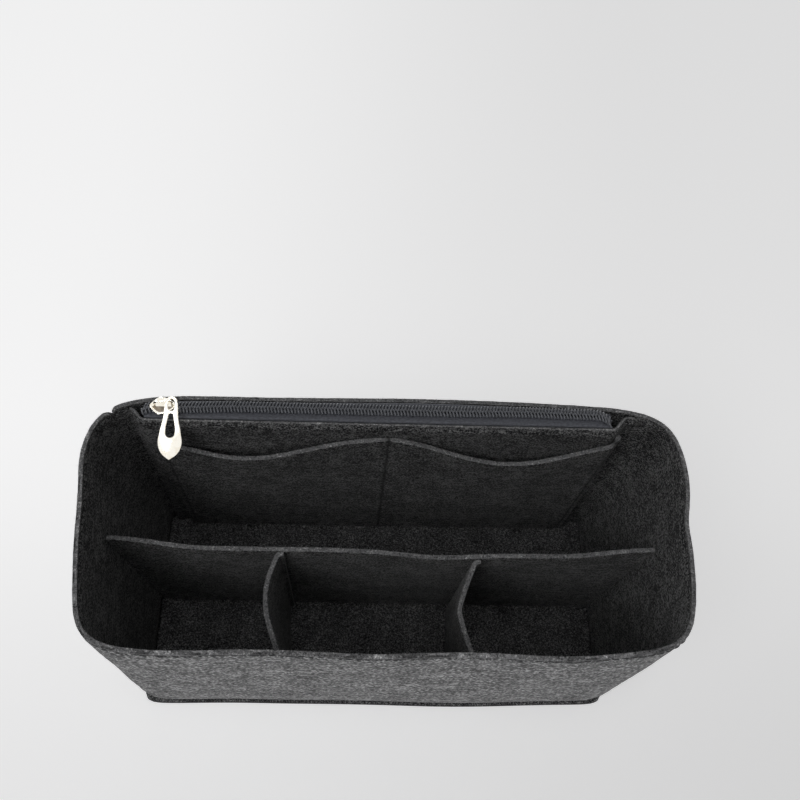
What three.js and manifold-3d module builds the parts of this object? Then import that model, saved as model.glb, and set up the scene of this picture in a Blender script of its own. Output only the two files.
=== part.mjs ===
// Felt purse organizer insert: an open tub of thick felt with three front
// compartments, a large rear compartment, two slip pockets and a zipped pocket
// along the back wall. Millimetres, +Z up, the front wall toward -Y.
import * as THREE from "three";
import { mergeVertices } from "three/addons/utils/BufferGeometryUtils.js";
import Module from "manifold-3d";

// Felt and clearances
const feltThickness = 2.5;
const sewnGap = 0.3; // left between pieces that lie against each other
const slideGap = 0.3; // running clearance around the zip chain

// Tub
const tubHeight = 149;
const rimLength = 286.5;
const rimDepth = 124;
const lengthFlare = 28; // the rim is this much longer than the base
const depthFlare = 9;
const baseForward = 3; // base middle lies ahead of the rim middle
const baseSquareness = 30; // high values make sharp corners, low ones round
const baseStraight = 0.85; // the base sides are straight over this share
const rimFrontSquareness = 9;
const rimBackSquareness = 6.6;
const frontNarrowing = 0.076; // the rim is this much shorter at the front
const backRimDrop = 1.3; // the back rim sits lower, under the zip
const backDropStart = 0.45; // where the rim begins to fall, as a share of half the depth
const backDropEnd = 0.95;
const seamNotchDepth = 3; // dip of the rim at the corner seam
const seamNotchReach = 0.1; // as a share of half a side
const seamOpening = 0.0025; // share of a side left open where the band ends meet
const shortSideCells = 12;
const longSideCells = 16;
const wallLayers = 3;

// Dividers
const dividerHeight = 115;
const dividerLeftY = 0; // where the long divider meets the left wall
const dividerRightY = -1.4;
const dividerSag = 4.3; // its top edge bows this far to the front
const dividerEndReach = 0.38; // the bow sets in over this share of half its length
const crossLeftX = -51;
const crossRightX = 44.8;
const crossFrontLeftX = -50.5;
const crossFrontRightX = 39.9;
const crossLeftBow = 6.4;
const crossRightBow = 7;
const crossFlange = 3.6; // ends turned to the right, from the divider's middle
const crossFold = 2.2; // middle radius of their folds
const crossGridDrop = 1; // the cross dividers end just under the long one
const foldCells = 3;
const dividerCells = 14;
const crossCells = 8;
const dividerLayers = 3;

// Zip pocket
const zipFromWall = 6; // middle of the coils ahead of the back wall's inner face
const zipAboveRim = 0.5; // middle of the coils over the front rim
const zipPanelAhead = 5.85; // middle of the felt ahead of the coils, at its top edge
const zipPanelBelowRim = 1.8;
const zipPanelLeftInset = 2; // from the inner end of the base
const zipPanelRightInset = 7.5;
const zipPanelLeftTurn = 7; // length of the left end that turns back to the wall
const zipPanelRightTurn = 9;
const zipPanelRightLap = 3; // length of the right end that lies on the back wall
const zipPanelCells = 40;
const zipPanelLayers = 3;

// Slip pockets
const slipLeftInset = 9.5; // from the left end of the zip panel
const slipRightInset = 2;
const slipPeak = 137; // top edge at the middle seam
const slipLeftEnd = 125;
const slipRightEnd = 131;
const slipDip = 13; // sag of the top edge between the seams
const slipDipPower = 1.3; // above 1 rounds the peak at the middle seam
const slipBulge = 6.5; // each pocket stands this far open at its mouth
const slipBulgePower = 1.1;
const slipCells = 40;
const slipLayers = 5;

// Zip
const chainWidth = 6.1;
const chainSlot = 1.2; // between the coils, for the slider's neck
const coilHeight = 2.2;
const coilChamfer = 0.5;
const chainLeftInset = 10.25; // from the left end of the zip panel
const chainRightInset = 13.25;
const tapeThickness = 0.5;
const tapeDepth = 11; // hangs this far down beside the felt
const tapeFold = 0.8;
const tapeCells = 24;
const tapeFoldCells = 3;

// Slider
const sliderFromEnd = 6; // slider middle from the left end of the chain
const sliderLength = 12;
const sliderWidth = 9.2;
const sliderTailWidth = 6;
const sliderUnderWidth = 5.6; // the plate under the tapes is narrower
const sliderUnderTailWidth = 4.6;
const sliderNoseWidth = 2.6;
const sliderShoulder = 4.6; // from the nose tip to the widest place
const plateThickness = 0.9;
const plateRounding = 0.2;
const neckWidth = 0.6;
const neckLength = 2.2;
const neckInset = 0.8;
const bridgeWidth = 1.4;
const bridgeThickness = 1.1;
const bridgeNoseX = -4.2; // outer faces of the bridge feet, from the slider middle
const bridgeTailX = 4.8;
const bridgeRound = 1.3;

// Pull
const pullHingeRise = 3.5; // hinge line above the slider's top plate
const pullLean = 58; // degrees from hanging straight down, laid on the slider's edge
const pullSteepest = 46; // degrees from upright that the bridge leaves room for
const pullOffset = 3.8; // along the zip from the slider middle
const pullThickness = 1.2;
const pullRounding = 0.25;
const eyeWidth = 6.4;
const eyeTop = 3.1; // above the hinge line
const eyeHoleWidth = 3.7;
const eyeHoleTop = 1.8;
const eyeHoleBottom = 4.1;
const pullSlotTop = 5.5;
const pullSlotBottom = 17.6;
const pullSlotTopWidth = 1.7;
const pullSlotWidth = 4.5;
const pullSlotWidest = 14.4;
const pullWidth = 11.6;
const pullWidest = 19.8;
const pullTip = 28.6;
const pullTipRound = 0.7;

// Sewing thread
const threadWidth = 0.5;
const rimStitchDrop = 3.5;
const slipStitchInset = 3;
const stitchEndInset = 4;

// Colours
const feltColour = 0x3c3d3f;
const threadColour = 0x2a2b2d;
const tapeColour = 0x3e3f43;
const coilColour = 0x424347;
const metalColour = 0xe9dfc8;

const baseTop = feltThickness;
const floorLevel = baseTop + sewnGap;
const halfFelt = feltThickness / 2;
const liftOff = halfFelt + sewnGap; // felt middle to a face it lies against
const layerStep = feltThickness + sewnGap; // between the middles of two layers

// Places that follow from the sizes
const baseLength = rimLength - lengthFlare;
const baseDepth = rimDepth - depthFlare;
const baseInnerEnd = baseLength / 2 - feltThickness;
const zipLineY = rimDepth / 2 - feltThickness - zipFromWall;
const zipLineZ = tubHeight + zipAboveRim;
const zipPanelTop = tubHeight - zipPanelBelowRim;
const zipPanelTopY = zipLineY - zipPanelAhead;
const zipPanelLeft = zipPanelLeftInset - baseInnerEnd;
const zipPanelRight = baseInnerEnd - zipPanelRightInset;
const zipPanelFlatLeft = zipPanelLeft + zipPanelLeftTurn;
const zipPanelWallReach = zipPanelRight - zipPanelRightLap;
const zipPanelFlatRight = zipPanelWallReach - zipPanelRightTurn;
const slipLeft = zipPanelLeft + slipLeftInset;
const slipRight = zipPanelRight - slipRightInset;
const chainLeft = zipPanelLeft + chainLeftInset;
const chainRight = zipPanelRight - chainRightInset;
const sliderX = chainLeft + sliderFromEnd;

function mix(a, b, share) {
  return a + (b - a) * share;
}

function clamp01(value) {
  return Math.min(1, Math.max(0, value));
}

function smooth(from, to, value) {
  const share = clamp01((value - from) / (to - from));
  return share * share * (3 - 2 * share);
}

// Tub outline at a height: a rounded oblong whose corners open out toward the rim
function tubSection(z, inset) {
  const share = clamp01(z / tubHeight);
  return {
    halfLength: mix(baseLength, rimLength, share) / 2 - inset,
    halfDepth: mix(baseDepth, rimDepth, share) / 2 - inset,
    middleY: mix(-baseForward, 0, share),
    front: 1 / mix(1 / baseSquareness, 1 / rimFrontSquareness, share),
    back: 1 / mix(1 / baseSquareness, 1 / rimBackSquareness, share),
    narrowing: frontNarrowing * share,
  };
}

function narrowed(section, v) {
  return section.halfLength * (1 - (section.narrowing * (1 - v) ** 2) / 4);
}

// Point of the outline in the direction of a point (p, q) of a square
function outlinePoint(p, q, z, inset) {
  const section = tubSection(z, inset);
  const power = q < 0 ? section.front : section.back;
  const reach = (Math.abs(p) ** power + Math.abs(q) ** power) ** (-1 / power);
  const v = q * reach;
  const y = section.middleY + section.halfDepth * v;
  return [narrowed(section, v) * p * reach, y];
}

function backY(x, z, inset) {
  const section = tubSection(z, inset);
  const u = Math.abs(x) / section.halfLength;
  return section.middleY + section.halfDepth * (1 - u ** section.back) ** (1 / section.back);
}

function frontY(x, z, inset) {
  const section = tubSection(z, inset);
  const u = Math.abs(x) / narrowed(section, -1);
  return section.middleY - section.halfDepth * (1 - u ** section.front) ** (1 / section.front);
}

function sideX(y, z, inset) {
  const section = tubSection(z, inset);
  const v = (y - section.middleY) / section.halfDepth;
  const power = v < 0 ? section.front : section.back;
  return narrowed(section, v) * (1 - Math.abs(v) ** power) ** (1 / power);
}

function inward(geometry) {
  const place = geometry.attributes.position;
  const order = geometry.index;
  const a = new THREE.Vector3();
  const b = new THREE.Vector3();
  const c = new THREE.Vector3();
  let volume = 0;
  for (let i = 0; i < order.count; i += 3) {
    a.fromBufferAttribute(place, order.getX(i));
    b.fromBufferAttribute(place, order.getX(i + 1));
    c.fromBufferAttribute(place, order.getX(i + 2));
    volume += a.dot(b.cross(c));
  }
  return volume < 0;
}

function facingOut(geometry) {
  if (inward(geometry)) {
    const order = geometry.index;
    for (let i = 0; i < order.count; i += 3) {
      const first = order.getX(i);
      order.setX(i, order.getX(i + 2));
      order.setX(i + 2, first);
    }
  }
  geometry.computeVertexNormals();
  return geometry;
}

// Box of small cells laid out by a rule: along, through and up each run 0 to 1
function shapedBox(cells, layers, rule) {
  const box = new THREE.BoxGeometry(1, 1, 1, cells, 1, layers);
  const place = box.attributes.position;
  for (let i = 0; i < place.count; i += 1) {
    const along = (place.getX(i) + 0.5) * cells;
    const up = (place.getZ(i) + 0.5) * layers;
    const point = rule(along, place.getY(i), up);
    place.setXYZ(i, point[0], point[1], point[2]);
  }
  return facingOut(box);
}

// Strip of even thickness standing on its edge along a plan path
function standingStrip(path, cells, bottom, top, layers, thickness) {
  const step = 0.01;
  return shapedBox(cells, layers, (along, through, up) => {
    const z = mix(bottom(along), top(along), up / layers);
    const before = path(Math.max(0, along - step), z);
    const after = path(Math.min(cells, along + step), z);
    const dx = after[0] - before[0];
    const dy = after[1] - before[1];
    const offset = (through * thickness) / Math.hypot(dx, dy);
    const middle = path(along, z);
    return [middle[0] - dy * offset, middle[1] + dx * offset, z];
  });
}

// Plan path made of pieces, each with its own count of cells
function joinedPath(pieces) {
  const total = pieces.reduce((sum, piece) => sum + piece.cells, 0);
  const at = (along, z) => {
    let start = 0;
    for (const piece of pieces) {
      if (along <= start + piece.cells || piece === pieces[pieces.length - 1]) {
        return piece.at((along - start) / piece.cells, z);
      }
      start += piece.cells;
    }
    return null;
  };
  return { total, at };
}

const metalNames = new Set(["slider", "pull_tab"]);

function pieceMesh(name, geometry, colour) {
  const metal = metalNames.has(name);
  const material = new THREE.MeshStandardMaterial({
    color: colour,
    roughness: metal ? 0.18 : 0.95,
    metalness: metal ? 1 : 0,
  });
  const mesh = new THREE.Mesh(geometry, material);
  mesh.name = name;
  return mesh;
}

const organizer = new THREE.Group();
const level = (z) => () => z;

// Wall band: one strip that runs from the back left corner round the front
function eased(share) {
  const f = 2 * share - 1;
  return 1.5 * f - 0.5 * f ** 3;
}

const bandCells = 2 * (shortSideCells + longSideCells);

function bandSquare(along) {
  const sides = [shortSideCells, longSideCells, shortSideCells, longSideCells];
  let start = 0;
  let side = 0;
  while (side < 3 && along > start + sides[side]) {
    start += sides[side];
    side += 1;
  }
  const w = eased(clamp01((along - start) / sides[side]));
  const towardSeam = w * (1 - seamOpening);
  const places = [
    [-1, w < 0 ? -towardSeam : -w],
    [w, -1],
    [1, w],
    [w > 0 ? -towardSeam : -w, 1],
  ];
  return places[side];
}

function bandPath(inset) {
  return (along, z) => {
    const [p, q] = bandSquare(along);
    return outlinePoint(p, q, z, inset);
  };
}

function rimHeight(along) {
  const [p, q] = bandSquare(along);
  const fall = backRimDrop * smooth(backDropStart, backDropEnd, q);
  const fromSeam = Math.min(1 + p, 1) + Math.min(1 - q, 1);
  const notch = seamNotchDepth * clamp01(1 - fromSeam / seamNotchReach) ** 2;
  return tubHeight - fall - notch;
}

const wall = standingStrip(
  bandPath(halfFelt), bandCells, level(floorLevel), rimHeight, wallLayers, feltThickness);
organizer.add(pieceMesh("wall_band", wall, feltColour));

// Base panel: under the wall, with the same outline
function basePanel() {
  const corners = [];
  for (let i = 0; i < bandCells; i += 1) {
    const [p, q] = bandSquare(i);
    if (Math.min(Math.abs(p), Math.abs(q)) > baseStraight) {
      corners.push(new THREE.Vector2(...outlinePoint(p, q, floorLevel, 0)));
    }
  }
  const outline = new THREE.Shape(corners);
  return new THREE.ExtrudeGeometry(outline, { depth: feltThickness, bevelEnabled: false });
}

organizer.add(pieceMesh("base_panel", basePanel(), feltColour));

// Zip panel: hangs inside the back wall, its ends turned back onto the wall
function wallLayerY(x, z) {
  return backY(x, z, feltThickness) - liftOff;
}

function zipPanelY(x, z) {
  const flat = mix(wallLayerY(0, floorLevel), zipPanelTopY, (z - floorLevel) / (zipPanelTop - floorLevel));
  const left = smooth(zipPanelLeft, zipPanelFlatLeft, x);
  const right = 1 - smooth(zipPanelFlatRight, zipPanelWallReach, x);
  return mix(wallLayerY(x, z), flat, left * right);
}

// Cells are closer together toward the ends, where the felt bends
function spreadX(left, right, share) {
  return mix(left, right, 0.5 + eased(share) / 2);
}

const zipPanelX = (along) => spreadX(zipPanelLeft, zipPanelRight, along / zipPanelCells);
const zipPanel = standingStrip(
  (along, z) => [zipPanelX(along), zipPanelY(zipPanelX(along), z)],
  zipPanelCells, level(floorLevel), level(zipPanelTop), zipPanelLayers, feltThickness);
organizer.add(pieceMesh("zip_panel", zipPanel, feltColour));

// Slip pocket panel: sewn to the zip panel at its ends, foot and middle
function stepAhead(curve, x, z, distance) {
  const span = 0.5;
  const slope = (curve(x + span, z) - curve(x - span, z)) / (2 * span);
  return curve(x, z) - distance * Math.hypot(1, slope);
}

function slipShare(x) {
  return x < 0 ? x / slipLeft : x / slipRight;
}

function slipTop(x) {
  const share = slipShare(x);
  const end = x < 0 ? slipLeftEnd : slipRightEnd;
  return mix(slipPeak, end, share) - slipDip * Math.sin(Math.PI * share) ** slipDipPower;
}

function slipY(x, z) {
  const open = Math.sin(Math.PI * slipShare(x)) ** 2;
  const rise = clamp01((z - floorLevel) / (slipTop(x) - floorLevel)) ** slipBulgePower;
  return stepAhead(zipPanelY, x, z, layerStep) - slipBulge * open * rise;
}

const slipX = (along) => spreadX(slipLeft, slipRight, along / slipCells);
const slipPanel = standingStrip(
  (along, z) => [slipX(along), slipY(slipX(along), z)],
  slipCells, level(floorLevel), (along) => slipTop(slipX(along)), slipLayers, feltThickness);
organizer.add(pieceMesh("slip_pocket_panel", slipPanel, feltColour));

// Long divider: from side wall to side wall, its ends sewn in edge on
function dividerLineY(x, z) {
  const reach = x / sideX(0, dividerHeight, feltThickness);
  const ends = mix(dividerLeftY, dividerRightY, (1 + reach) / 2);
  const bow = smooth(0, dividerEndReach, 1 - Math.abs(reach));
  return ends - dividerSag * (z / dividerHeight) * bow;
}

const dividerEndY = (side) => (side < 0 ? dividerLeftY : dividerRightY);
const dividerEndX = (side, z) => side * (sideX(dividerEndY(side), z, feltThickness) - sewnGap);

function longDividerPath(along, z) {
  const x = mix(dividerEndX(-1, z), dividerEndX(1, z), along / dividerCells);
  return [x, dividerLineY(x, z)];
}

const longDivider = standingStrip(
  longDividerPath, dividerCells, level(floorLevel), level(dividerHeight), dividerLayers, feltThickness);
organizer.add(pieceMesh("long_divider", longDivider, feltColour));

// Cross dividers: bowed to the left from the front wall to the long divider, both ends
// folded to the right
function crossDivider(frontX, rearX, bow) {
  const frontLine = (x, z) => frontY(x, z, feltThickness) + liftOff;
  const rearLine = (x, z) => stepAhead(dividerLineY, x, z, layerStep);
  const lean = (z) => bow * (z / dividerHeight);
  const slope = (side, z) => {
    const run = rearLine(rearX, z) - frontLine(frontX, z);
    return Math.atan((rearX - frontX + side * Math.PI * lean(z)) / run);
  };
  const flangeAt = (fromX, line, share, z) => {
    const x = fromX + mix(crossFold, crossFlange, share);
    return [x, line(x, z)];
  };
  const foldAt = (fromX, line, side, share, z) => {
    const turn = share * (Math.PI / 2 - side * slope(side, z));
    const x = fromX + crossFold * (1 - Math.sin(turn));
    return [x, line(fromX, z) - side * crossFold * (1 - Math.cos(turn))];
  };
  return joinedPath([
    { cells: 1, at: (share, z) => flangeAt(frontX, frontLine, 1 - share, z) },
    { cells: foldCells, at: (share, z) => foldAt(frontX, frontLine, -1, share, z) },
    {
      cells: crossCells,
      at: (share, z) => {
        const front = foldAt(frontX, frontLine, -1, 1, z);
        const rear = foldAt(rearX, rearLine, 1, 1, z);
        const x = mix(front[0], rear[0], share) - lean(z) * Math.sin(Math.PI * share);
        return [x, mix(front[1], rear[1], share)];
      },
    },
    { cells: foldCells, at: (share, z) => foldAt(rearX, rearLine, 1, 1 - share, z) },
    { cells: 1, at: (share, z) => flangeAt(rearX, rearLine, share, z) },
  ]);
}

function addCrossDivider(name, path) {
  const felt = standingStrip(
    path.at, path.total, level(floorLevel), level(dividerHeight - crossGridDrop),
    dividerLayers, feltThickness);
  organizer.add(pieceMesh(name, felt, feltColour));
}

addCrossDivider("cross_divider_left", crossDivider(crossFrontLeftX, crossLeftX, crossLeftBow));
addCrossDivider("cross_divider_right", crossDivider(crossFrontRightX, crossRightX, crossRightBow));

// Zip tapes: flat under the coils, then folded down beside the felt
const tapeZ = zipLineZ - coilHeight / 2 - slideGap / 2 - tapeThickness / 2;

function zipTape(side, legY) {
  const cells = tapeCells;
  const layers = tapeFoldCells + 2;
  const innerY = zipLineY + (side * chainSlot) / 2;
  const section = (x, up) => {
    const foldEndZ = tapeZ - tapeFold;
    const edge = legY(x, tapeZ);
    if (up <= 1) return [mix(innerY, edge - side * tapeFold, up), tapeZ];
    if (up <= 1 + tapeFoldCells) {
      const turn = (((up - 1) / tapeFoldCells) * Math.PI) / 2;
      const y = edge - side * tapeFold * (1 - Math.sin(turn));
      return [y, foldEndZ + tapeFold * Math.cos(turn)];
    }
    const z = mix(foldEndZ, foldEndZ - tapeDepth, up - 1 - tapeFoldCells);
    return [legY(x, z), z];
  };
  const step = 0.01;
  return shapedBox(cells, layers, (along, through, up) => {
    const x = mix(chainLeft, chainRight, along / cells);
    const before = section(x, Math.max(0, up - step));
    const after = section(x, Math.min(layers, up + step));
    const dy = after[0] - before[0];
    const dz = after[1] - before[1];
    const offset = (through * tapeThickness) / Math.hypot(dy, dz);
    const [y, z] = section(x, up);
    return [x, y - dz * offset, z + dy * offset];
  });
}

const tapeLift = sewnGap + tapeThickness / 2;
const rearTape = zipTape(1, (x, z) => backY(x, z, feltThickness) - tapeLift);
const frontTape = zipTape(-1, (x, z) => zipPanelY(x, z) + halfFelt + tapeLift);
organizer.add(pieceMesh("zip_tape_rear", rearTape, tapeColour));
organizer.add(pieceMesh("zip_tape_front", frontTape, tapeColour));

// Zip coils: two plain bars on the tapes, with the slider's neck between them
function zipCoil(side) {
  const inner = chainSlot / 2;
  const outer = chainWidth / 2;
  const half = coilHeight / 2;
  const section = new THREE.Shape();
  section.moveTo(inner, -half);
  section.lineTo(outer, -half);
  section.lineTo(outer, half - coilChamfer);
  section.lineTo(outer - coilChamfer, half);
  section.lineTo(inner + coilChamfer, half);
  section.lineTo(inner, half - coilChamfer);
  section.closePath();
  const length = chainRight - chainLeft;
  const bar = new THREE.ExtrudeGeometry(section, { depth: length, bevelEnabled: false });
  bar.rotateX(Math.PI / 2);
  bar.rotateZ(side > 0 ? Math.PI / 2 : -Math.PI / 2);
  return bar;
}

const rearCoil = pieceMesh("zip_coil_rear", zipCoil(1), coilColour);
rearCoil.position.set(chainLeft, zipLineY, zipLineZ);
organizer.add(rearCoil);
const frontCoil = pieceMesh("zip_coil_front", zipCoil(-1), coilColour);
frontCoil.position.set(chainRight, zipLineY, zipLineZ);
organizer.add(frontCoil);

// Slider: two plates joined by a neck, with a bridge for the pull on top
const wasm = await Module();
wasm.setup();

function solidOf(geometry) {
  const bare = new THREE.BufferGeometry();
  bare.setAttribute("position", geometry.attributes.position.clone());
  if (geometry.index) bare.setIndex(geometry.index.clone());
  const merged = mergeVertices(bare, 1e-4);
  return new wasm.Manifold(new wasm.Mesh({
    numProp: 3,
    vertProperties: new Float32Array(merged.attributes.position.array),
    triVerts: new Uint32Array(merged.index.array),
  }));
}

function geometryOf(solid) {
  const mesh = solid.getMesh();
  const geometry = new THREE.BufferGeometry();
  geometry.setAttribute("position", new THREE.BufferAttribute(mesh.vertProperties, 3));
  geometry.setIndex(new THREE.BufferAttribute(mesh.triVerts, 1));
  geometry.computeVertexNormals();
  return geometry;
}

const plateTopZ = coilHeight / 2 + slideGap + plateThickness;
const lowerPlateTopZ = tapeZ - zipLineZ - tapeThickness / 2 - slideGap;

function sliderPlate(topZ, width, tailWidth) {
  const nose = -sliderLength / 2;
  const tail = sliderLength / 2;
  const wide = width / 2 - plateRounding;
  const narrow = tailWidth / 2 - plateRounding;
  const point = sliderNoseWidth / 2;
  const front = nose + plateRounding;
  const rear = tail - plateRounding;
  const shoulder = nose + sliderShoulder;
  const plan = new THREE.Shape();
  plan.moveTo(front, point);
  plan.quadraticCurveTo(front, -point, front + point, -wide + point);
  plan.quadraticCurveTo(shoulder - point, -wide, shoulder, -wide);
  plan.lineTo(rear - point, -narrow);
  plan.quadraticCurveTo(rear, -narrow, rear, -narrow + point);
  plan.lineTo(rear, narrow - point);
  plan.quadraticCurveTo(rear, narrow, rear - point, narrow);
  plan.lineTo(shoulder, wide);
  plan.quadraticCurveTo(shoulder - point, wide, front + point, wide - point);
  plan.quadraticCurveTo(front, point, front, point);
  const plate = new THREE.ExtrudeGeometry(plan, {
    depth: plateThickness - 2 * plateRounding,
    bevelThickness: plateRounding,
    bevelSize: plateRounding,
    bevelSegments: 1,
    curveSegments: 4,
  });
  plate.translate(0, 0, topZ - plateThickness + plateRounding);
  return plate;
}

function sliderBridge() {
  const holeTop = plateTopZ + pullHingeRise + pullClearance;
  const top = holeTop + bridgeThickness;
  const sunk = plateTopZ - plateThickness / 2;
  const noseFoot = bridgeNoseX + bridgeThickness;
  const tailFoot = bridgeTailX - bridgeThickness;
  const arch = new THREE.Shape();
  arch.moveTo(bridgeNoseX, sunk);
  arch.lineTo(noseFoot, sunk);
  arch.lineTo(noseFoot, holeTop - bridgeRound);
  arch.quadraticCurveTo(noseFoot, holeTop, noseFoot + bridgeRound, holeTop);
  arch.lineTo(tailFoot - bridgeRound, holeTop);
  arch.quadraticCurveTo(tailFoot, holeTop, tailFoot, holeTop - bridgeRound);
  arch.lineTo(tailFoot, sunk);
  arch.lineTo(bridgeTailX, sunk);
  arch.lineTo(bridgeTailX, top - bridgeRound);
  arch.quadraticCurveTo(bridgeTailX, top, bridgeTailX - bridgeRound, top);
  arch.lineTo(bridgeNoseX + bridgeRound, top);
  arch.quadraticCurveTo(bridgeNoseX, top, bridgeNoseX, top - bridgeRound);
  arch.closePath();
  const bridge = new THREE.ExtrudeGeometry(arch, {
    depth: bridgeWidth,
    bevelEnabled: false,
    curveSegments: 4,
  });
  bridge.rotateX(Math.PI / 2);
  bridge.translate(0, bridgeWidth / 2, 0);
  return bridge;
}

// Room above the hinge line for the leaning leg under the bridge
const leanRadians = (pullLean * Math.PI) / 180;
const steepRadians = (pullSteepest * Math.PI) / 180;
const pullClearance =
  bridgeWidth / 2 / Math.tan(steepRadians) + pullThickness / 2 / Math.sin(steepRadians) + slideGap / 2;

function sliderNeck() {
  const height = plateTopZ - lowerPlateTopZ;
  const neck = new THREE.BoxGeometry(neckLength, neckWidth, height);
  const x = -sliderLength / 2 + neckInset + neckLength / 2;
  neck.translate(x, 0, (plateTopZ + lowerPlateTopZ - plateThickness) / 2);
  return neck;
}

const sliderSolid = wasm.Manifold.union([
  solidOf(sliderPlate(plateTopZ, sliderWidth, sliderTailWidth)),
  solidOf(sliderPlate(lowerPlateTopZ, sliderUnderWidth, sliderUnderTailWidth)),
  solidOf(sliderNeck()),
  solidOf(sliderBridge()),
]);
const slider = pieceMesh("slider", geometryOf(sliderSolid), metalColour);
slider.position.set(sliderX, zipLineY, zipLineZ);
organizer.add(slider);

// Pull: a flat teardrop frame whose eye is linked round the bridge's tail foot
function pullTab() {
  const edge = pullRounding;
  const half = eyeWidth / 2 - edge;
  const wide = pullWidth / 2 - edge;
  const top = eyeTop - edge;
  const tip = pullTip - edge;
  const outline = new THREE.Shape();
  outline.moveTo(0, top);
  outline.bezierCurveTo(-half * 0.7, top, -half, top * 0.6, -half, 0);
  outline.bezierCurveTo(-half, -pullWidest / 3, -wide, -pullWidest * 0.62, -wide, -pullWidest);
  outline.bezierCurveTo(-wide, -mix(pullWidest, tip, 0.45), -wide * 0.4, -mix(pullWidest, tip, 0.85),
    -pullTipRound, -tip + pullTipRound / 2);
  outline.quadraticCurveTo(0, -tip, pullTipRound, -tip + pullTipRound / 2);
  outline.bezierCurveTo(wide * 0.4, -mix(pullWidest, tip, 0.85), wide, -mix(pullWidest, tip, 0.45),
    wide, -pullWidest);
  outline.bezierCurveTo(wide, -pullWidest * 0.62, half, -pullWidest / 3, half, 0);
  outline.bezierCurveTo(half, top * 0.6, half * 0.7, top, 0, top);
  const eye = new THREE.Path();
  const eyeHalf = eyeHoleWidth / 2 + edge;
  const eyeMiddle = (eyeHoleTop - eyeHoleBottom) / 2;
  const eyeHeight = (eyeHoleTop + eyeHoleBottom) / 2 + edge;
  eye.absellipse(0, eyeMiddle, eyeHalf, eyeHeight, 0, 2 * Math.PI, true, 0);
  const slot = new THREE.Path();
  const slotTop = pullSlotTopWidth / 2 + edge;
  const slotHalf = pullSlotWidth / 2 + edge;
  const slotFoot = -pullSlotBottom - edge;
  slot.moveTo(-slotTop, -pullSlotTop + edge);
  slot.lineTo(slotTop, -pullSlotTop + edge);
  slot.quadraticCurveTo(slotHalf, -mix(pullSlotTop, pullSlotWidest, 0.6), slotHalf, -pullSlotWidest);
  slot.quadraticCurveTo(slotHalf, -mix(pullSlotWidest, pullSlotBottom, 0.7), slotHalf / 2, slotFoot);
  slot.lineTo(-slotHalf / 2, slotFoot);
  slot.quadraticCurveTo(-slotHalf, -mix(pullSlotWidest, pullSlotBottom, 0.7), -slotHalf, -pullSlotWidest);
  slot.quadraticCurveTo(-slotHalf, -mix(pullSlotTop, pullSlotWidest, 0.6), -slotTop, -pullSlotTop + edge);
  outline.holes.push(eye, slot);
  const plate = new THREE.ExtrudeGeometry(outline, {
    depth: pullThickness - 2 * edge,
    bevelThickness: edge,
    bevelSize: edge,
    bevelSegments: 2,
    curveSegments: 10,
  });
  plate.translate(0, 0, edge - pullThickness / 2);
  return plate;
}

const pull = pieceMesh("pull_tab", pullTab(), metalColour);
pull.position.set(sliderX + pullOffset, zipLineY, zipLineZ + plateTopZ + pullHingeRise);
pull.rotation.x = Math.PI / 2 - leanRadians;
organizer.add(pull);

// Sewing thread: rows of stitches as unbroken lines of thread on the felt
const halfThread = threadWidth / 2;
const threadLift = sewnGap + halfThread;

function threadRound(name, path, cells, middleZ) {
  const low = (along) => middleZ(along) - halfThread;
  const high = (along) => middleZ(along) + halfThread;
  const thread = standingStrip(path, cells, low, high, 1, threadWidth);
  organizer.add(pieceMesh(name, thread, threadColour));
}

function threadUp(name, path, low, high, layers) {
  const thread = standingStrip(path, 1, level(low), level(high), layers, threadWidth);
  organizer.add(pieceMesh(name, thread, threadColour));
}

threadRound("rim_stitch", bandPath(-threadLift), bandCells, (along) => rimHeight(along) - rimStitchDrop);
threadRound("base_seam_stitch", bandPath(-threadLift), bandCells, level(baseTop));

function seamPath(along, z) {
  const first = bandPath(-threadLift)(0, z);
  const last = bandPath(-threadLift)(bandCells, z);
  const dx = first[0] - last[0];
  const dy = first[1] - last[1];
  const reach = ((along - 0.5) * threadWidth) / Math.hypot(dx, dy);
  return [(first[0] + last[0]) / 2 + dx * reach, (first[1] + last[1]) / 2 + dy * reach];
}

threadUp("corner_seam_stitch", seamPath, floorLevel + stitchEndInset,
  tubHeight - 2 * stitchEndInset - rimStitchDrop, wallLayers);

function slipStitch(name, x, top) {
  const line = (along, z) => {
    const place = x + (along - 0.5) * threadWidth;
    return [place, stepAhead(slipY, place, z, halfFelt + threadLift)];
  };
  threadUp(name, line, floorLevel + stitchEndInset, top - stitchEndInset, slipLayers);
}

slipStitch("slip_stitch_middle", 0, slipPeak);
slipStitch("slip_stitch_left", slipLeft + slipStitchInset, slipLeftEnd - slipStitchInset / 2);
slipStitch("slip_stitch_right", slipRight - slipStitchInset, slipRightEnd - slipStitchInset / 2);

function dividerStitch(name, side) {
  const line = (along, z) => {
    const place = dividerEndY(side) + side * (along - 0.5) * threadWidth;
    return [side * (sideX(place, z, 0) + threadLift), place];
  };
  threadUp(name, line, floorLevel + stitchEndInset, dividerHeight - stitchEndInset, dividerLayers);
}

dividerStitch("divider_stitch_left", -1);
dividerStitch("divider_stitch_right", 1);

function crossStitch(name, rearX) {
  const x = rearX + mix(crossFold, crossFlange, 0.7);
  const line = (along, z) => {
    const place = x + (along - 0.5) * threadWidth;
    return [place, stepAhead(dividerLineY, place, z, layerStep + halfFelt + threadLift)];
  };
  threadUp(name, line, floorLevel + stitchEndInset, dividerHeight - stitchEndInset, dividerLayers);
}

crossStitch("cross_stitch_left", crossLeftX);
crossStitch("cross_stitch_right", crossRightX);

export default organizer;
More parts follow.
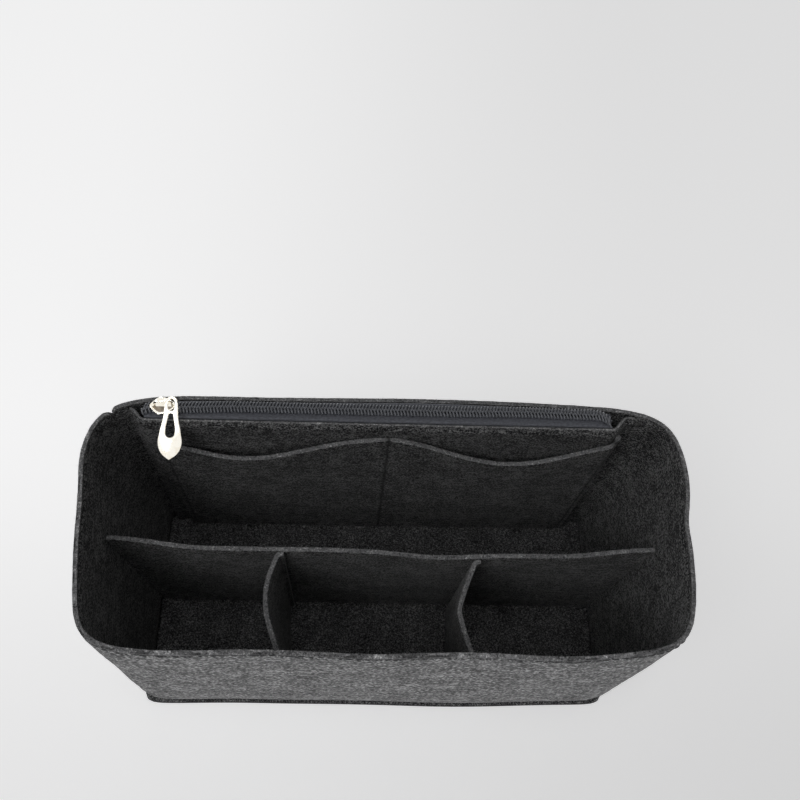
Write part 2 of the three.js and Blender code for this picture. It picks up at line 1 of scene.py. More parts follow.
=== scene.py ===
"""Charcoal felt purse organizer insert: the looks of each felt panel, the zip and its
pull, built around the packed solid model. Metres, +Z up, the front wall toward -Y."""
import math
import random
from types import SimpleNamespace

import bmesh
import bpy
from bpy.props import FloatProperty, FloatVectorProperty, PointerProperty
from bpy.types import Operator, Panel, PropertyGroup
from mathutils import Matrix, Vector, noise


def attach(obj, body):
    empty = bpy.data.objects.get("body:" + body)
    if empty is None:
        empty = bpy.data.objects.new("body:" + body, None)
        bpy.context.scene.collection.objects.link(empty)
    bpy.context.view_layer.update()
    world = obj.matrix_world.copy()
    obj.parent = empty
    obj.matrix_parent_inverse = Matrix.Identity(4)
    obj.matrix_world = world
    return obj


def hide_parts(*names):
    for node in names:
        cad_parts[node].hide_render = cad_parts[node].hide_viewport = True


bl_info = {
    "name": "Felt purse organizer",
    "version": (1, 0, 0),
    "blender": (4, 5, 0),
    "location": "3D View > Sidebar > Organizer",
    "description": "Builds the felt panels, zip and pull of a purse organizer insert",
    "category": "Object",
}

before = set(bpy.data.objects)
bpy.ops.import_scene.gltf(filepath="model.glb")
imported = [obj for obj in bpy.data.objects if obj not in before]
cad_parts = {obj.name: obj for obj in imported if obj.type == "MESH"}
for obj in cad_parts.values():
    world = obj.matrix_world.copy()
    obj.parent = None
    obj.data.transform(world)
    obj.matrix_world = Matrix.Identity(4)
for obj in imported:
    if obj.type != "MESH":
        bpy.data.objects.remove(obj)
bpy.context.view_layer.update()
MM = 0.001
ORGANIZER, SLIDER, PULL = "organizer", "zip_slider", "zip_pull"
SLIP_SEAM = 3 * MM  # end rows of the slip panel, from its ends
SHARP = math.radians(50)  # edges that turn further than this are rounded
STREAK_WEIGHTS = 0.8, 0.4, 0.28  # of the felt's finer and wider streaks, and its patches
# Where the soft walls and the long divider bulge: share of the give, middle and width, mm
BULGES = {
    "front": ((0.9, -6, 20), (1.45, 76, 22), (-0.7, -60, 26), (-0.5, 34, 18)),
    "front foot": ((1.4, 45, 45), (-0.5, -85, 30)),
    "back": ((0.9, 18, 36), (-0.5, -66, 32), (-0.55, 95, 28)),
    "left": ((1.35, 28, 14), (0.5, -16, 16)),
    "right": ((1.3, 22, 15), (-1.1, 0, 9), (0.7, -33, 16)),
    "divider": ((1, 24, 24), (-0.45, -35, 28)),
}


def linear(hex_colour):
    """An sRGB hex value as the linear colour that Blender's sockets take."""
    parts = [int(hex_colour[i:i + 2], 16) / 255 for i in (0, 2, 4)]
    return [c / 12.92 if c <= 0.04045 else ((c + 0.055) / 1.055) ** 2.4 for c in parts]


def length(name, default, description):
    return FloatProperty(name=name, description=description, default=default * MM,
                         unit="LENGTH", subtype="DISTANCE", precision=5)


def number(name, default, description):
    return FloatProperty(name=name, description=description, default=default)


def share(name, default, description):
    return FloatProperty(name=name, description=description, default=default,
                         subtype="FACTOR", soft_min=0, soft_max=1)


def colour(name, default, description):
    return FloatVectorProperty(name=name, description=description, subtype="COLOR",
                               size=3, min=0, max=1, default=linear(default))


def angle(name, default, description):
    return FloatProperty(name=name, description=description, subtype="ANGLE",
                         unit="ROTATION", default=default)


class TubSizes(PropertyGroup):
    """The felt tub: base and wall band."""
    height: length("Height", 149, "Floor to rim")
    rim_length: length("Rim length", 286.5, "Outside length at the rim")
    rim_depth: length("Rim depth", 124, "Outside depth at the rim")
    length_flare: length("Length flare", 27, "How much longer the rim is than the base")
    depth_flare: length("Depth flare", 9, "How much deeper the rim is than the base")
    foot_flare: length("Foot flare", 3, "The sides turn out at the floor")
    foot_reach: length("Foot reach", 12, "Height of that turn")
    base_forward: length("Base forward", 3, "Base middle ahead of the rim middle")
    base_squareness: number("Base squareness", 30, "High values make sharp corners")
    rim_front_squareness: number("Front rim squareness", 9.7, "Roundness of the front corners")
    rim_back_squareness: number("Back rim squareness", 7.0, "Roundness of the back corners")
    front_narrowing: share("Front narrowing", 0.076, "The rim is shorter at the front")
    give: length("Give", 1, "How far the soft walls bulge between the panels sewn to them")
    back_drop: length("Back rim drop", 1.3, "The back rim sits lower, under the zip")
    seam_shift: share("Seam place", 0.0256, "From the back left corner, of the way round")
    seam_dip: length("Seam dip", 4.6, "Dip of the rim at the corner seam")
    seam_reach: length("Seam dip reach", 9, "Length of that dip on each side of the seam")
    ledge: length("Ledge", 1.9, "The base stands out this far under the front wall")
    # Share of the painted shade under the rim and along the foot that the inside faces keep.
    inside_shade: share("Inside press", 0.4, "How dark the row under the rim is on the inside")
    felt: length("Felt thickness", 2.5, "Thickness of all the felt")
    sewn_gap: length("Sewn gap", 0.3, "Left between pieces that lie against each other")
    edge_rounding: length("Edge rounding", 0.55, "Rounding of the cut edges")
    unevenness: length("Unevenness", 0.16, "Height of the small lumps of the felt")
    lump: length("Lump size", 5, "Width of those lumps")
    wave: length("Wave", 0.5, "How far the standing felt waves")
    wave_size: length("Wave size", 45, "Width of those waves")
    fibres_per_mm2: number("Fibres", 2.6, "Loose fibres on a square millimetre of cut edge")
    fibre_length: length("Fibre length", 1.0, "Mean length of a loose fibre")
    fibre_width: length("Fibre width", 0.05, "Width of a loose fibre at its root")


class DividerSizes(PropertyGroup):
    """The long divider and the two cross dividers."""
    height: length("Height", 115, "Top edge of the dividers")
    left_y: length("Left end", 0, "Where the long divider meets the left wall")
    right_y: length("Right end", -2.4, "Where it meets the right wall")
    sag: length("Sag", 4.3, "Its top edge bows this far to the front")
    end_reach: share("End reach", 0.38, "The bow sets in over this share of half its length")
    sway: length("Sway", 2.2, "A slow wave along its top edge")
    fold: length("Fold", 2.2, "Middle radius of the cross dividers' folds")
    left_x: length("Left rear", -53.4, "Rear end of the left cross divider")
    right_x: length("Right rear", 42.8, "Rear end of the right cross divider")
    front_left_x: length("Left front", -49.6, "Front end of the left cross divider")
    front_right_x: length("Right front", 40.6, "Front end of the right cross divider")
    left_bow: length("Left bow", 5.9, "The left cross divider bows to the left")
    right_bow: length("Right bow", 7.0, "The right one is bent to the left along a crease")
    cross_flange: length("Cross flange", 3.6, "Ends turned to the right")
    cross_drop: length("Cross drop", -0.4, "The cross dividers end this far under the long one")


class PocketSizes(PropertyGroup):
    """The zip panel and the slip pocket panel on it."""
    zip_from_wall: length("Zip from wall", 6, "Middle of the coils ahead of the back wall")
    zip_above_rim: length("Zip above rim", 0.5, "Middle of the coils over the front rim")
    panel_ahead: length("Panel ahead", 5.85, "Middle of the felt ahead of the coils")
    panel_below_rim: length("Panel below rim", 1.8, "Top edge of the zip panel")
    left_inset: length("Left inset", 2.5, "Zip panel from the inner end of the base")
    right_inset: length("Right inset", 5.3, "The same on the right")
    left_turn: length("Left turn", 7, "The left end turns back to the wall")
    right_turn: length("Right turn", 9, "The right end turns back to the wall")
    right_lap: length("Right lap", 3, "The right end lies on the back wall")
    pinched: share("Pinched edge", 0.52, "Thickness left where the zip is sewn on")
    slip_left: length("Slip left", 9.5, "Slip panel from the left end of the zip panel")
    slip_right: length("Slip right", 4.5, "The same on the right")
    slip_peak: length("Slip peak", 137, "Top edge at the middle seam")
    slip_left_end: length("Slip left end", 125, "Top edge at the left seam")
    slip_right_end: length("Slip right end", 135, "Top edge at the right seam")
    slip_left_dip: length("Slip left dip", 8.5, "Sag of the left pocket's top edge")
    slip_right_dip: length("Slip right dip", 16.5, "Sag of the right pocket's top edge")
    slip_left_skew: number("Slip left skew", 1.35, "Above 1 moves the sag toward the end")
    slip_right_skew: number("Slip right skew", 1.1, "The same on the right")
    slip_dip_power: number("Slip dip power", 1.3, "Above 1 rounds the peak at the middle")
    slip_bulge: length("Slip bulge", 5, "Each pocket stands this far open")
    slip_bulge_power: number("Slip bulge power", 1.1, "How the pocket opens with height")


class ZipSizes(PropertyGroup):
    """The tapes, the coils and the slider."""
    chain_width: length("Chain width", 6.1, "Both coils together")
    chain_left: length("Chain left", 10.25, "Chain from the left end of the zip panel")
    chain_right: length("Chain right", 12, "Chain from the right end of the zip panel")
    pitch: length("Pitch", 1.6, "One turn of a coil")
    strand: length("Strand", 0.98, "Diameter of the coil's strand")
    coil_height: length("Coil height", 2.2, "Height of a coil")
    interlock: length("Interlock", 0.45, "How far a coil's heads pass the middle")
    slant: length("Slant", 1.15, "The heads lie this far to the left")
    lies_back: length("Lies back", 1.3, "The chain lies this far behind the slider's line")
    swell: length("Swell", 0.6, "And this far further near its right end")
    end_bend: length("End bend", 3.6, "The right end of the chain bends forward")
    end_drop: length("End drop", 2.6, "And down")
    end_reach: length("End reach", 11, "Length of that bend")
    loose_end: length("Loose end", 3, "The left end runs on past the slider")
    loose_bend: length("Loose bend", 1, "And bends forward")
    loose_drop: length("Loose drop", 0.8, "And down")
    tape: length("Tape thickness", 0.5, "Thickness of the tape")
    tape_depth: length("Tape depth", 11, "The tape hangs this far down beside the felt")
    tape_fold: length("Tape fold", 0.8, "Radius of the tape's fold")
    slot: length("Slot", 1.2, "Between the inner edges of the tapes")
    clearance: length("Clearance", 0.3, "Room round the chain in the slider")
    slider_from_end: length("Slider place", 6, "Slider middle from the left end of the chain")
    slider_length: length("Slider length", 12, "Nose to tail")
    slider_width: length("Slider width", 9.2, "At its shoulders")
    slider_tail: length("Slider tail", 6, "Width of the tail")
    under_width: length("Under width", 5.6, "The plate under the tapes is narrower")
    under_tail: length("Under tail", 4.6, "Width of its tail")
    slider_nose: length("Slider nose", 2.6, "Width of the nose")
    shoulder: length("Shoulder", 4.6, "Nose to the widest place")
    plate: length("Plate", 0.9, "Thickness of the slider's plates")
    bridge_width: length("Bridge width", 3.0, "Width of the bridge over the plate")
    bridge_leg: length("Bridge leg", 1.1, "Width of its leg in the pull's eye")
    bridge_thickness: length("Bridge thickness", 1.1, "Thickness of the bridge")
    bridge_nose: length("Bridge nose", -4.2, "Nose foot from the slider's middle")
    # Across the slider, the dish ahead of this line takes a painted shade; the darker colour
    # there is not duller plating.
    shade_edge: length("Shaded part", -0.3, "Where the duller plating of the dish ends")
    bridge_tail: length("Bridge tail", 5.4, "Tail foot from the slider's middle")


class PullSizes(PropertyGroup):
    """The teardrop pull."""
    hinge_rise: length("Hinge rise", 3.5, "Hinge line above the slider's top plate")
    lean: angle("Lean", math.radians(58), "From hanging straight down")
    steepest: angle("Steepest", math.radians(46), "Lean that the bridge leaves room for")
    offset: length("Offset", 3.8, "Along the zip from the slider's middle")
    aslant: angle("Aslant", math.radians(2), "It hangs this far from square to the zip")
    aside: length("Aside", 0.2, "And this far further along it")
    thickness: length("Thickness", 1.2, "At the eye")
    eye_width: length("Eye width", 5.6, "Outside")
    eye_top: length("Eye top", 2.75, "Above the hinge line")
    eye_hole: length("Eye hole", 3.2, "Width of the hole")
    eye_hole_top: length("Eye hole top", 1.5, "Above the hinge line")
    eye_hole_foot: length("Eye hole foot", 4.1, "Below the hinge line")
    slot_top: length("Slot top", 5.5, "Below the hinge line")
    slot_foot: length("Slot foot", 16.1, "Below the hinge line")
    slot_top_width: length("Slot top width", 1.7, "Width of the slot at its top")
    slot_width: length("Slot width", 4.2, "At its widest")
    slot_widest: length("Slot widest", 13.6, "Below the hinge line")
    width: length("Width", 11.6, "At its widest")
    widest: length("Widest", 19.8, "Below the hinge line")
    tip: length("Tip", 27.9, "Below the hinge line")
    dome: length("Dome", 1.1, "The drop swells this far above the frame")


class ThreadSizes(PropertyGroup):
    """The sewing thread."""
    width: length("Thread", 0.42, "Diameter of the thread")
    stitch: length("Stitch", 3.4, "Length of a stitch")
    gap: length("Gap", 0.7, "Between two stitches")
    groove: share("Groove", 0.66, "Thickness of the felt left under a row of stitches")
    rim_drop: length("Rim drop", 2.4, "Row under the rim")
    end_inset: length("End inset", 4, "Rows end this far from the edges")


class Finish(PropertyGroup):
    """The colours of the materials."""
    felt_dark: colour("Felt dark", "262627", "Darkest fibres of the felt")
    felt_mid: colour("Felt middle", "606061", "Most of the felt")
    felt_light: colour("Felt light", "a8a8a8", "Pale fibres of the felt")
    thread: colour("Thread", "242527", "Sewing thread")
    tape: colour("Tape", "54565d", "Woven zip tape")
    coil: colour("Coil", "5b5d63", "Nylon coil")
    metal: colour("Metal", "f8f4ea", "Pale gold plating")
    metal_deep: colour("Metal deep", "efe8d8", "Thinner plating")
    # Colour of the painted shade on the front part of the slider's dish.
    hollow: colour("Hollow", "8e8478", "The plating in the slider's hollows")


class StageLook(PropertyGroup):
    """The floor, the lamps and the camera."""
    floor: colour("Floor", "e6e6e7", "The pale floor")
    glow: number("Floor glow", 0.54, "How far the floor is lifted toward white for the eye")
    sky: number("Sky", 0.1, "Strength of the even light from all round")
    front: number("Front lamp", 14.8, "Power of the low front lamp, watts")
    sides: number("Side lamps", 6, "Power of each low lamp at the sides and the back, watts")
    top: number("Top lamp", 3.1, "Power of the high front lamp, watts")
    overhead: number("Overhead lamp", 1.8, "Power of the lamp straight above, watts")
    lens: length("Lens", 38.26, "Focal length on a 36 mm sensor")
    pitch: angle("Pitch", 1.0885425, "The camera looks this far down")
    yaw: angle("Yaw", 0.1300741, "And this far to the right")
    roll: angle("Roll", 0.1396139, "And is rolled this far")
    camera: FloatVectorProperty(name="Camera", description="Where the camera stands", size=3,
                                subtype="TRANSLATION", unit="LENGTH",
                                default=(-0.020226, -0.130547, 0.517733))


GROUPS = {"organizer_tub": TubSizes, "organizer_divider": DividerSizes,
          "organizer_pocket": PocketSizes, "organizer_zip": ZipSizes,
          "organizer_pull": PullSizes, "organizer_thread": ThreadSizes,
          "organizer_finish": Finish, "organizer_stage": StageLook}


def mix(a, b, part):
    return a + (b - a) * part


def clamp01(value):
    return min(1.0, max(0.0, value))


def smooth(start, end, value):
    part = clamp01((value - start) / (end - start))
    return part * part * (3 - 2 * part)


def bell(value, middle, width):
    return math.exp(-((value - middle) / width) ** 2)


def bulges(name, place):
    return sum(part * bell(place, middle * MM, width * MM)
               for part, middle, width in BULGES[name])


def square_reach(p, q, power):
    """How far a squared circle reaches in a direction: a high power makes it squarer."""
    return (abs(p) ** power + abs(q) ** power) ** (-1 / power)


class Shape:
    """Where the panels run, worked out from the sizes in the sidebar."""

    def __init__(self, scene):
        for name, kind in GROUPS.items():
            group = getattr(scene, name)
            plain = {key: getattr(group, key) for key in kind.__annotations__}
            setattr(self, name.split("_")[1], SimpleNamespace(**plain))
        t, p, z = self.tub, self.pocket, self.zip
        self.floor = t.felt + t.sewn_gap
        self.half = t.felt / 2
        self.lift = self.half + t.sewn_gap
        self.layer = t.felt + t.sewn_gap
        self.base_length = t.rim_length - t.length_flare
        self.base_depth = t.rim_depth - t.depth_flare
        inner_end = self.base_length / 2 - t.felt
        self.zip_y = t.rim_depth / 2 - t.felt - p.zip_from_wall
        self.zip_z = t.height + p.zip_above_rim
        self.panel_top = t.height - p.panel_below_rim
        self.panel_top_y = self.zip_y - p.panel_ahead
        self.panel_left = p.left_inset - inner_end
        self.panel_right = inner_end - p.right_inset
        self.slip_left = self.panel_left + p.slip_left
        self.slip_right = self.panel_right - p.slip_right
        self.chain_left = self.panel_left + z.chain_left
        self.chain_right = self.panel_right - z.chain_right
        self.slider_x = self.chain_left + z.slider_from_end
        self.loose_left = self.chain_left - z.loose_end
        self.tape_z = self.zip_z - z.coil_height / 2 - z.clearance / 2 - z.tape / 2
        self.plate_top = z.coil_height / 2 + z.clearance + z.plate
        self.lower_plate_top = self.tape_z - self.zip_z - z.tape / 2 - z.clearance

    def section(self, z, inset):
        t = self.tub
        part = clamp01(z / t.height)
        return SimpleNamespace(
            half_length=mix(self.base_length, t.rim_length, part) / 2 - inset
            + t.foot_flare * clamp01(1 - z / t.foot_reach) ** 2,
            half_depth=mix(self.base_depth, t.rim_depth, part) / 2 - inset,
            middle=mix(-t.base_forward, 0, part),
            front=1 / mix(1 / t.base_squareness, 1 / t.rim_front_squareness, part),
            back=1 / mix(1 / t.base_squareness, 1 / t.rim_back_squareness, part),
            narrowing=t.front_narrowing * part)

    def narrowed(self, section, v):
        return section.half_length * (1 - section.narrowing * (1 - v) ** 2 / 4)

    def high(self, z):
        """0 near the floor, 1 at the rim."""
        return smooth(0.2, 1, z / self.tub.height)

    def front_give(self, x, z):
        """How far the front wall bulges, between the cross dividers and along its foot."""
        return self.tub.give * mix(bulges("front foot", x), bulges("front", x), self.high(z))

    def back_give(self, x, z):
        """How far the back wall bulges."""
        return self.tub.give * self.high(z) * bulges("back", x)

    def side_give(self, side, y, z):
        """How far a side wall bulges on both sides of the long divider's end."""
        return self.tub.give * self.high(z) * bulges("left" if side < 0 else "right", y)

    def outline(self, p, q, z, inset):
        """Point of the tub's outline in the direction of a point of a square."""
        section = self.section(z, inset)
        power = section.front if q < 0 else section.back
        reach = square_reach(p, q, power)
        u, v = p * reach, q * reach
        x = self.narrowed(section, v) * u
        y = section.middle + section.half_depth * v
        beside, behind, before = (smooth(0.8, 0.97, near) for near in (abs(u), v, -v))
        aside = self.side_give(u, y, z) * beside
        y += self.back_give(x, z) * behind - self.front_give(x, z) * before
        return x + (aside if u > 0 else -aside), y

    def back_y(self, x, z, inset):
        section = self.section(z, inset)
        u = min(1.0, abs(x) / section.half_length)
        power = section.back
        flat = section.middle + section.half_depth * (1 - u ** power) ** (1 / power)
        return flat + self.back_give(x, z)

    def front_y(self, x, z, inset):
        section = self.section(z, inset)
        u = min(1.0, abs(x) / self.narrowed(section, -1))
        power = section.front
        flat = section.middle - section.half_depth * (1 - u ** power) ** (1 / power)
        return flat - self.front_give(x, z)

    def side_x(self, y, z, inset, side=0):
        section = self.section(z, inset)
        v = (y - section.middle) / section.half_depth
        power = section.front if v < 0 else section.back
        flat = self.narrowed(section, v) * (1 - abs(v) ** power) ** (1 / power)
        return flat + (self.side_give(side, y, z) if side else 0)

    def band_square(self, along):
        """Point of a square at a share of the way round from the seam, which is by the back
        left corner."""
        along = (along + self.tub.seam_shift) % 1
        starts = (0, 3 / 14, 7 / 14, 10 / 14, 1)
        side = max(i for i in range(4) if along >= starts[i])
        f = 2 * (along - starts[side]) / (starts[side + 1] - starts[side]) - 1
        w = 1.5 * f - 0.5 * f ** 3
        return ((-1, -w), (w, -1), (1, w), (-w, 1))[side]

    def rim(self, along):
        """Height of the rim. It dips at the seam, deeper and longer on the left wall's side."""
        t = self.tub
        q = self.band_square(along)[1]
        fall = t.back_drop * smooth(0.45, 0.95, q)
        round_rim = 2 * (t.rim_length + t.rim_depth)
        dip, from_seam = ((t.seam_dip, along * round_rim) if along < 0.5 else
                          (t.seam_dip * 0.6, (1 - along) * round_rim * 1.6))
        return t.height - fall - dip * clamp01(1 - from_seam / t.seam_reach) ** 2

    def wall_layer_y(self, x, z):
        return self.back_y(x, z, self.tub.felt) - self.lift

    def zip_panel_y(self, x, z):
        p = self.pocket
        rise = (z - self.floor) / (self.panel_top - self.floor)
        flat = mix(self.wall_layer_y(0, self.floor), self.panel_top_y, rise)
        left = smooth(self.panel_left, self.panel_left + p.left_turn, x)
        reach = self.panel_right - p.right_lap
        right = 1 - smooth(reach - p.right_turn, reach, x)
        return mix(self.wall_layer_y(x, z), flat, left * right)

    def ahead(self, curve, x, z, distance):
        """The curve moved forward by a distance square to it."""
        step = 0.5 * MM
        slope = (curve(x + step, z) - curve(x - step, z)) / (2 * step)
        return curve(x, z) - distance * math.hypot(1, slope)

    def slip_share(self, x):
        return clamp01(x / self.slip_left if x < 0 else x / self.slip_right)

    def slip_open(self, x):
        """0 where the slip panel is sewn down, 1 where a pocket stands most open."""
        p = self.pocket
        skew = p.slip_left_skew if x < 0 else p.slip_right_skew
        return math.sin(math.pi * self.slip_share(x) ** skew)

    def slip_top(self, x):
        p = self.pocket
        end, dip = ((p.slip_left_end, p.slip_left_dip) if x < 0 else
                    (p.slip_right_end, p.slip_right_dip))
        sag = dip * self.slip_open(x) ** p.slip_dip_power
        return mix(p.slip_peak, end, self.slip_share(x)) - sag

    def slip_y(self, x, z):
        p = self.pocket
        opening = self.slip_open(x) ** 2
        rise = clamp01((z - self.floor) / (self.slip_top(x) - self.floor)) ** p.slip_bulge_power
        return self.ahead(self.zip_panel_y, x, z, self.layer) - p.slip_bulge * opening * rise

    def divider_y(self, x, z):
        d = self.divider
        reach = x / self.side_x(0, d.height, self.tub.felt)
        ends = mix(d.left_y, d.right_y, (1 + reach) / 2)
        bow = d.sag * smooth(0, d.end_reach, 1 - abs(reach))
        return ends - (bow + d.sway * bulges("divider", x)) * z / d.height

    def chain(self, x):
        """Middle of the zip chain: it lies back a little along its run, and both its ends
        bend forward and down."""
        z = self.zip
        nose = self.slider_x - z.slider_length / 2
        back = z.lies_back * smooth(self.slider_x, self.slider_x + 40 * MM, x)
        back += z.swell * bell(x, 66 * MM, 22 * MM)
        right = clamp01((x - self.chain_right + z.end_reach) / z.end_reach) ** 3
        left = clamp01((nose - x) / z.loose_end) ** 1.5
        return Vector((x, self.zip_y + back - z.end_bend * right - z.loose_bend * left,
                       self.zip_z - z.end_drop * right - z.loose_drop * left))


def fill(tree, node, inputs):
    """Gives a node's sockets their values, or links them to other sockets."""
    for key, value in inputs.items():
        if isinstance(value, bpy.types.NodeSocket):
            tree.links.new(value, node.inputs[key])
        else:
            node.inputs[key].default_value = value


def add_node(tree, kind, inputs=None, **settings):
    """Adds a node, sets its properties and fills or links its sockets."""
    made = tree.nodes.new(kind)
    for key, value in settings.items():
        setattr(made, key, value)
    fill(tree, made, inputs or {})
    return made


def new_material(name):
    """A material with its node tree and the shader to fill."""
    material = bpy.data.materials.new(name)
    material.use_nodes = True
    tree = material.node_tree
    return material, tree, tree.nodes["Principled BSDF"]


def rgba(values):
    return (*values, 1.0)


def shade(values, part):
    """A colour made paler or darker by one share."""
    return [c * part for c in values]


def calc(tree, operation, *values):
    return add_node(tree, "ShaderNodeMath", dict(enumerate(values)),
                    operation=operation).outputs[0]


def ranged(tree, value, low, high):
    """A value from 0 to 1, spread from low to high."""
    return add_node(tree, "ShaderNodeMapRange", {
        "Value": value, "To Min": low, "To Max": high}).outputs[0]


def speckle(tree, place, size, detail=2.0):
    """Soft spots of a size in millimetres, from 0 to 1."""
    return add_node(tree, "ShaderNodeTexNoise", {
        "Vector": place, "Scale": 1 / (size * MM), "Detail": detail}).outputs["Fac"]


def bumped(tree, height, strength, depth):
    """Fine relief of a depth in millimetres, for a shader's normal."""
    return add_node(tree, "ShaderNodeBump", {
        "Strength": strength, "Distance": depth * MM, "Height": height}).outputs[0]


def ramp(tree, fac, stops):
    """A colour ramp over (place, colour) stops."""
    made = add_node(tree, "ShaderNodeValToRGB", {"Fac": fac})
    made.color_ramp.interpolation = "EASE"
    elements = made.color_ramp.elements
    while len(elements) < len(stops):
        elements.new(0.5)
    for element, (place, value) in zip(elements, stops):
        element.position = place
        element.color = rgba(value)
    return made.outputs["Color"]


def felt_material(name, finish, coordinates, grain, spread):
    """Needled polyester felt: pale and dark fibres carded together, most of them along the
    panel, so the eye sees short streaks of a millimetre or two, fuzz and no gloss. A wide
    spread makes an even grey, as on a cut edge."""
    material, tree, shader = new_material(name)
    place = add_node(tree, "ShaderNodeTexCoord").outputs[coordinates]
    wander = add_node(tree, "ShaderNodeTexNoise", {
        "Vector": place, "Scale": 1 / (7 * MM), "Detail": 1.0})
    shift = add_node(tree, "ShaderNodeVectorMath", {
        0: wander.outputs["Color"], 1: (0.5, 0.5, 0.5)}, operation="SUBTRACT")
    bend = 1.6 * MM
    bent = add_node(tree, "ShaderNodeVectorMath", {
        0: shift.outputs[0], 1: (bend, bend, bend), 2: place}, operation="MULTIPLY_ADD")
    streaks = []
    for size, turn, detail in grain:
        scaled = add_node(tree, "ShaderNodeMapping", {
            "Vector": bent.outputs[0], "Rotation": (0, 0, turn),
            "Scale": [1 / (s * MM) for s in size]}, vector_type="POINT")
        streaks.append(add_node(tree, "ShaderNodeTexNoise", {
            "Vector": scaled.outputs[0], "Scale": 1.0, "Detail": detail,
            "Roughness": 0.62}).outputs["Fac"])
    streaks.append(speckle(tree, place, 16))
    total = streaks[0]
    for other, weight in zip(streaks[1:], STREAK_WEIGHTS):
        total = calc(tree, "MULTIPLY_ADD", other, weight, total)
    middle = 1.26
    tone = add_node(tree, "ShaderNodeMapRange", {
        "Value": total, "From Min": middle - spread, "From Max": middle + spread}).outputs[0]
    loose = ramp(tree, tone, ((0.12, finish.felt_dark), (0.5, finish.felt_mid),
                              (0.92, finish.felt_light)))
    # This layer darkens the felt, to under a fifth at 1: painted shade in the groove under the
    # rim's stitches and along the wall's foot, and a dark line along the slip panel's sewn rows
    # that is partly pressed felt and partly painted shade.
    press = add_node(tree, "ShaderNodeSeparateXYZ", {
        0: add_node(tree, "ShaderNodeUVMap", uv_map="press").outputs[0]}).outputs["X"]
    fibres = add_node(tree, "ShaderNodeVectorMath", {
        0: loose, 1: ranged(tree, press, 1.0, 0.18)}, operation="MULTIPLY").outputs[0]
    fill(tree, shader, {
        "Base Color": fibres, "Normal": bumped(tree, total, 0.3, 0.5), "Roughness": 0.95,
        "Specular IOR Level": 0.0, "Sheen Weight": 0.18, "Sheen Roughness": 0.45})
    return material


def thread_material(finish):
    """Spun polyester thread: two plies that wind round each other, dull and dark."""
    material, tree, shader = new_material("spun_polyester_thread")
    place = add_node(tree, "ShaderNodeTexCoord").outputs["Object"]
    plies = speckle(tree, place, 0.5)
    tones = (0.3, shade(finish.thread, 0.6)), (0.7, shade(finish.thread, 1.9))
    fill(tree, shader, {
        "Base Color": ramp(tree, plies, tones), "Normal": bumped(tree, plies, 0.5, 0.1),
        "Roughness": 0.8, "Sheen Weight": 0.1})
    return material


def tape_material(finish):
    """Woven polyester zip tape: fine ribs along the tape, 0.6 mm apart, a little smoother
    and bluer than the felt."""
    material, tree, shader = new_material("woven_polyester_tape")
    place = add_node(tree, "ShaderNodeTexCoord").outputs["UV"]
    ribs = add_node(tree, "ShaderNodeTexWave", {
        "Vector": place, "Scale": 1 / (0.6 * MM) / (2 * math.pi) * 2, "Distortion": 0.6,
        "Detail": 1.0, "Detail Scale": 1.0}, wave_type="BANDS", bands_direction="Y")
    slubs = add_node(tree, "ShaderNodeMapping", {
        "Vector": place, "Scale": (1 / (1.5 * MM), 1 / (0.8 * MM), 1)})
    yarn = add_node(tree, "ShaderNodeTexNoise", {
        "Vector": slubs.outputs[0], "Scale": 1.0, "Detail": 2.0}).outputs["Fac"]
    total = calc(tree, "MULTIPLY_ADD", ribs.outputs["Fac"], 0.35, yarn)
    tones = ((0.45, shade(finish.tape, 0.45)), (0.65, finish.tape),
             (0.85, shade(finish.tape, 1.5)))
    fill(tree, shader, {
        "Base Color": ramp(tree, total, tones), "Normal": bumped(tree, total, 0.5, 0.15),
        "Roughness": 0.7, "Sheen Weight": 0.15})
    return material


def coil_material(finish):
    """Nylon monofilament: drawn smooth and dyed, so each turn carries a soft highlight."""
    material, tree, shader = new_material("nylon_monofilament")
    place = add_node(tree, "ShaderNodeTexCoord").outputs["Object"]
    dye = speckle(tree, place, 1.3)
    tones = (0.3, shade(finish.coil, 0.7)), (0.7, shade(finish.coil, 1.25))
    fill(tree, shader, {
        "Base Color": ramp(tree, dye, tones), "Roughness": ranged(tree, dye, 0.3, 0.5),
        "IOR": 1.53})
    return material


def metal_material(name, metal, painted_depth_light):
    """Zinc casting plated pale gold and polished: bright, with faint tumbling marks and a
    tone that wanders between its two colours; made with dark colours, it is the painted
    shade on the front part of the slider's dish."""
    material, tree, shader = new_material(name)
    place = add_node(tree, "ShaderNodeTexCoord").outputs["Object"]
    cloud = speckle(tree, place, 3, 3.0)
    marks = speckle(tree, place, 0.5)
    fill(tree, shader, {
        "Base Color": ramp(tree, cloud, ((0.25, painted_depth_light), (0.55, metal))),
        "Roughness": ranged(tree, cloud, 0.1, 0.24),
        "Normal": bumped(tree, marks, 0.08, 0.05), "Metallic": 1.0})
    return material


MATERIALS = {}


def toned(finish, share_left):
    """The felt's three tones, all paler or darker by one share."""
    return SimpleNamespace(**{key: shade(getattr(finish, key), share_left)
                              for key in ("felt_dark", "felt_mid", "felt_light")})


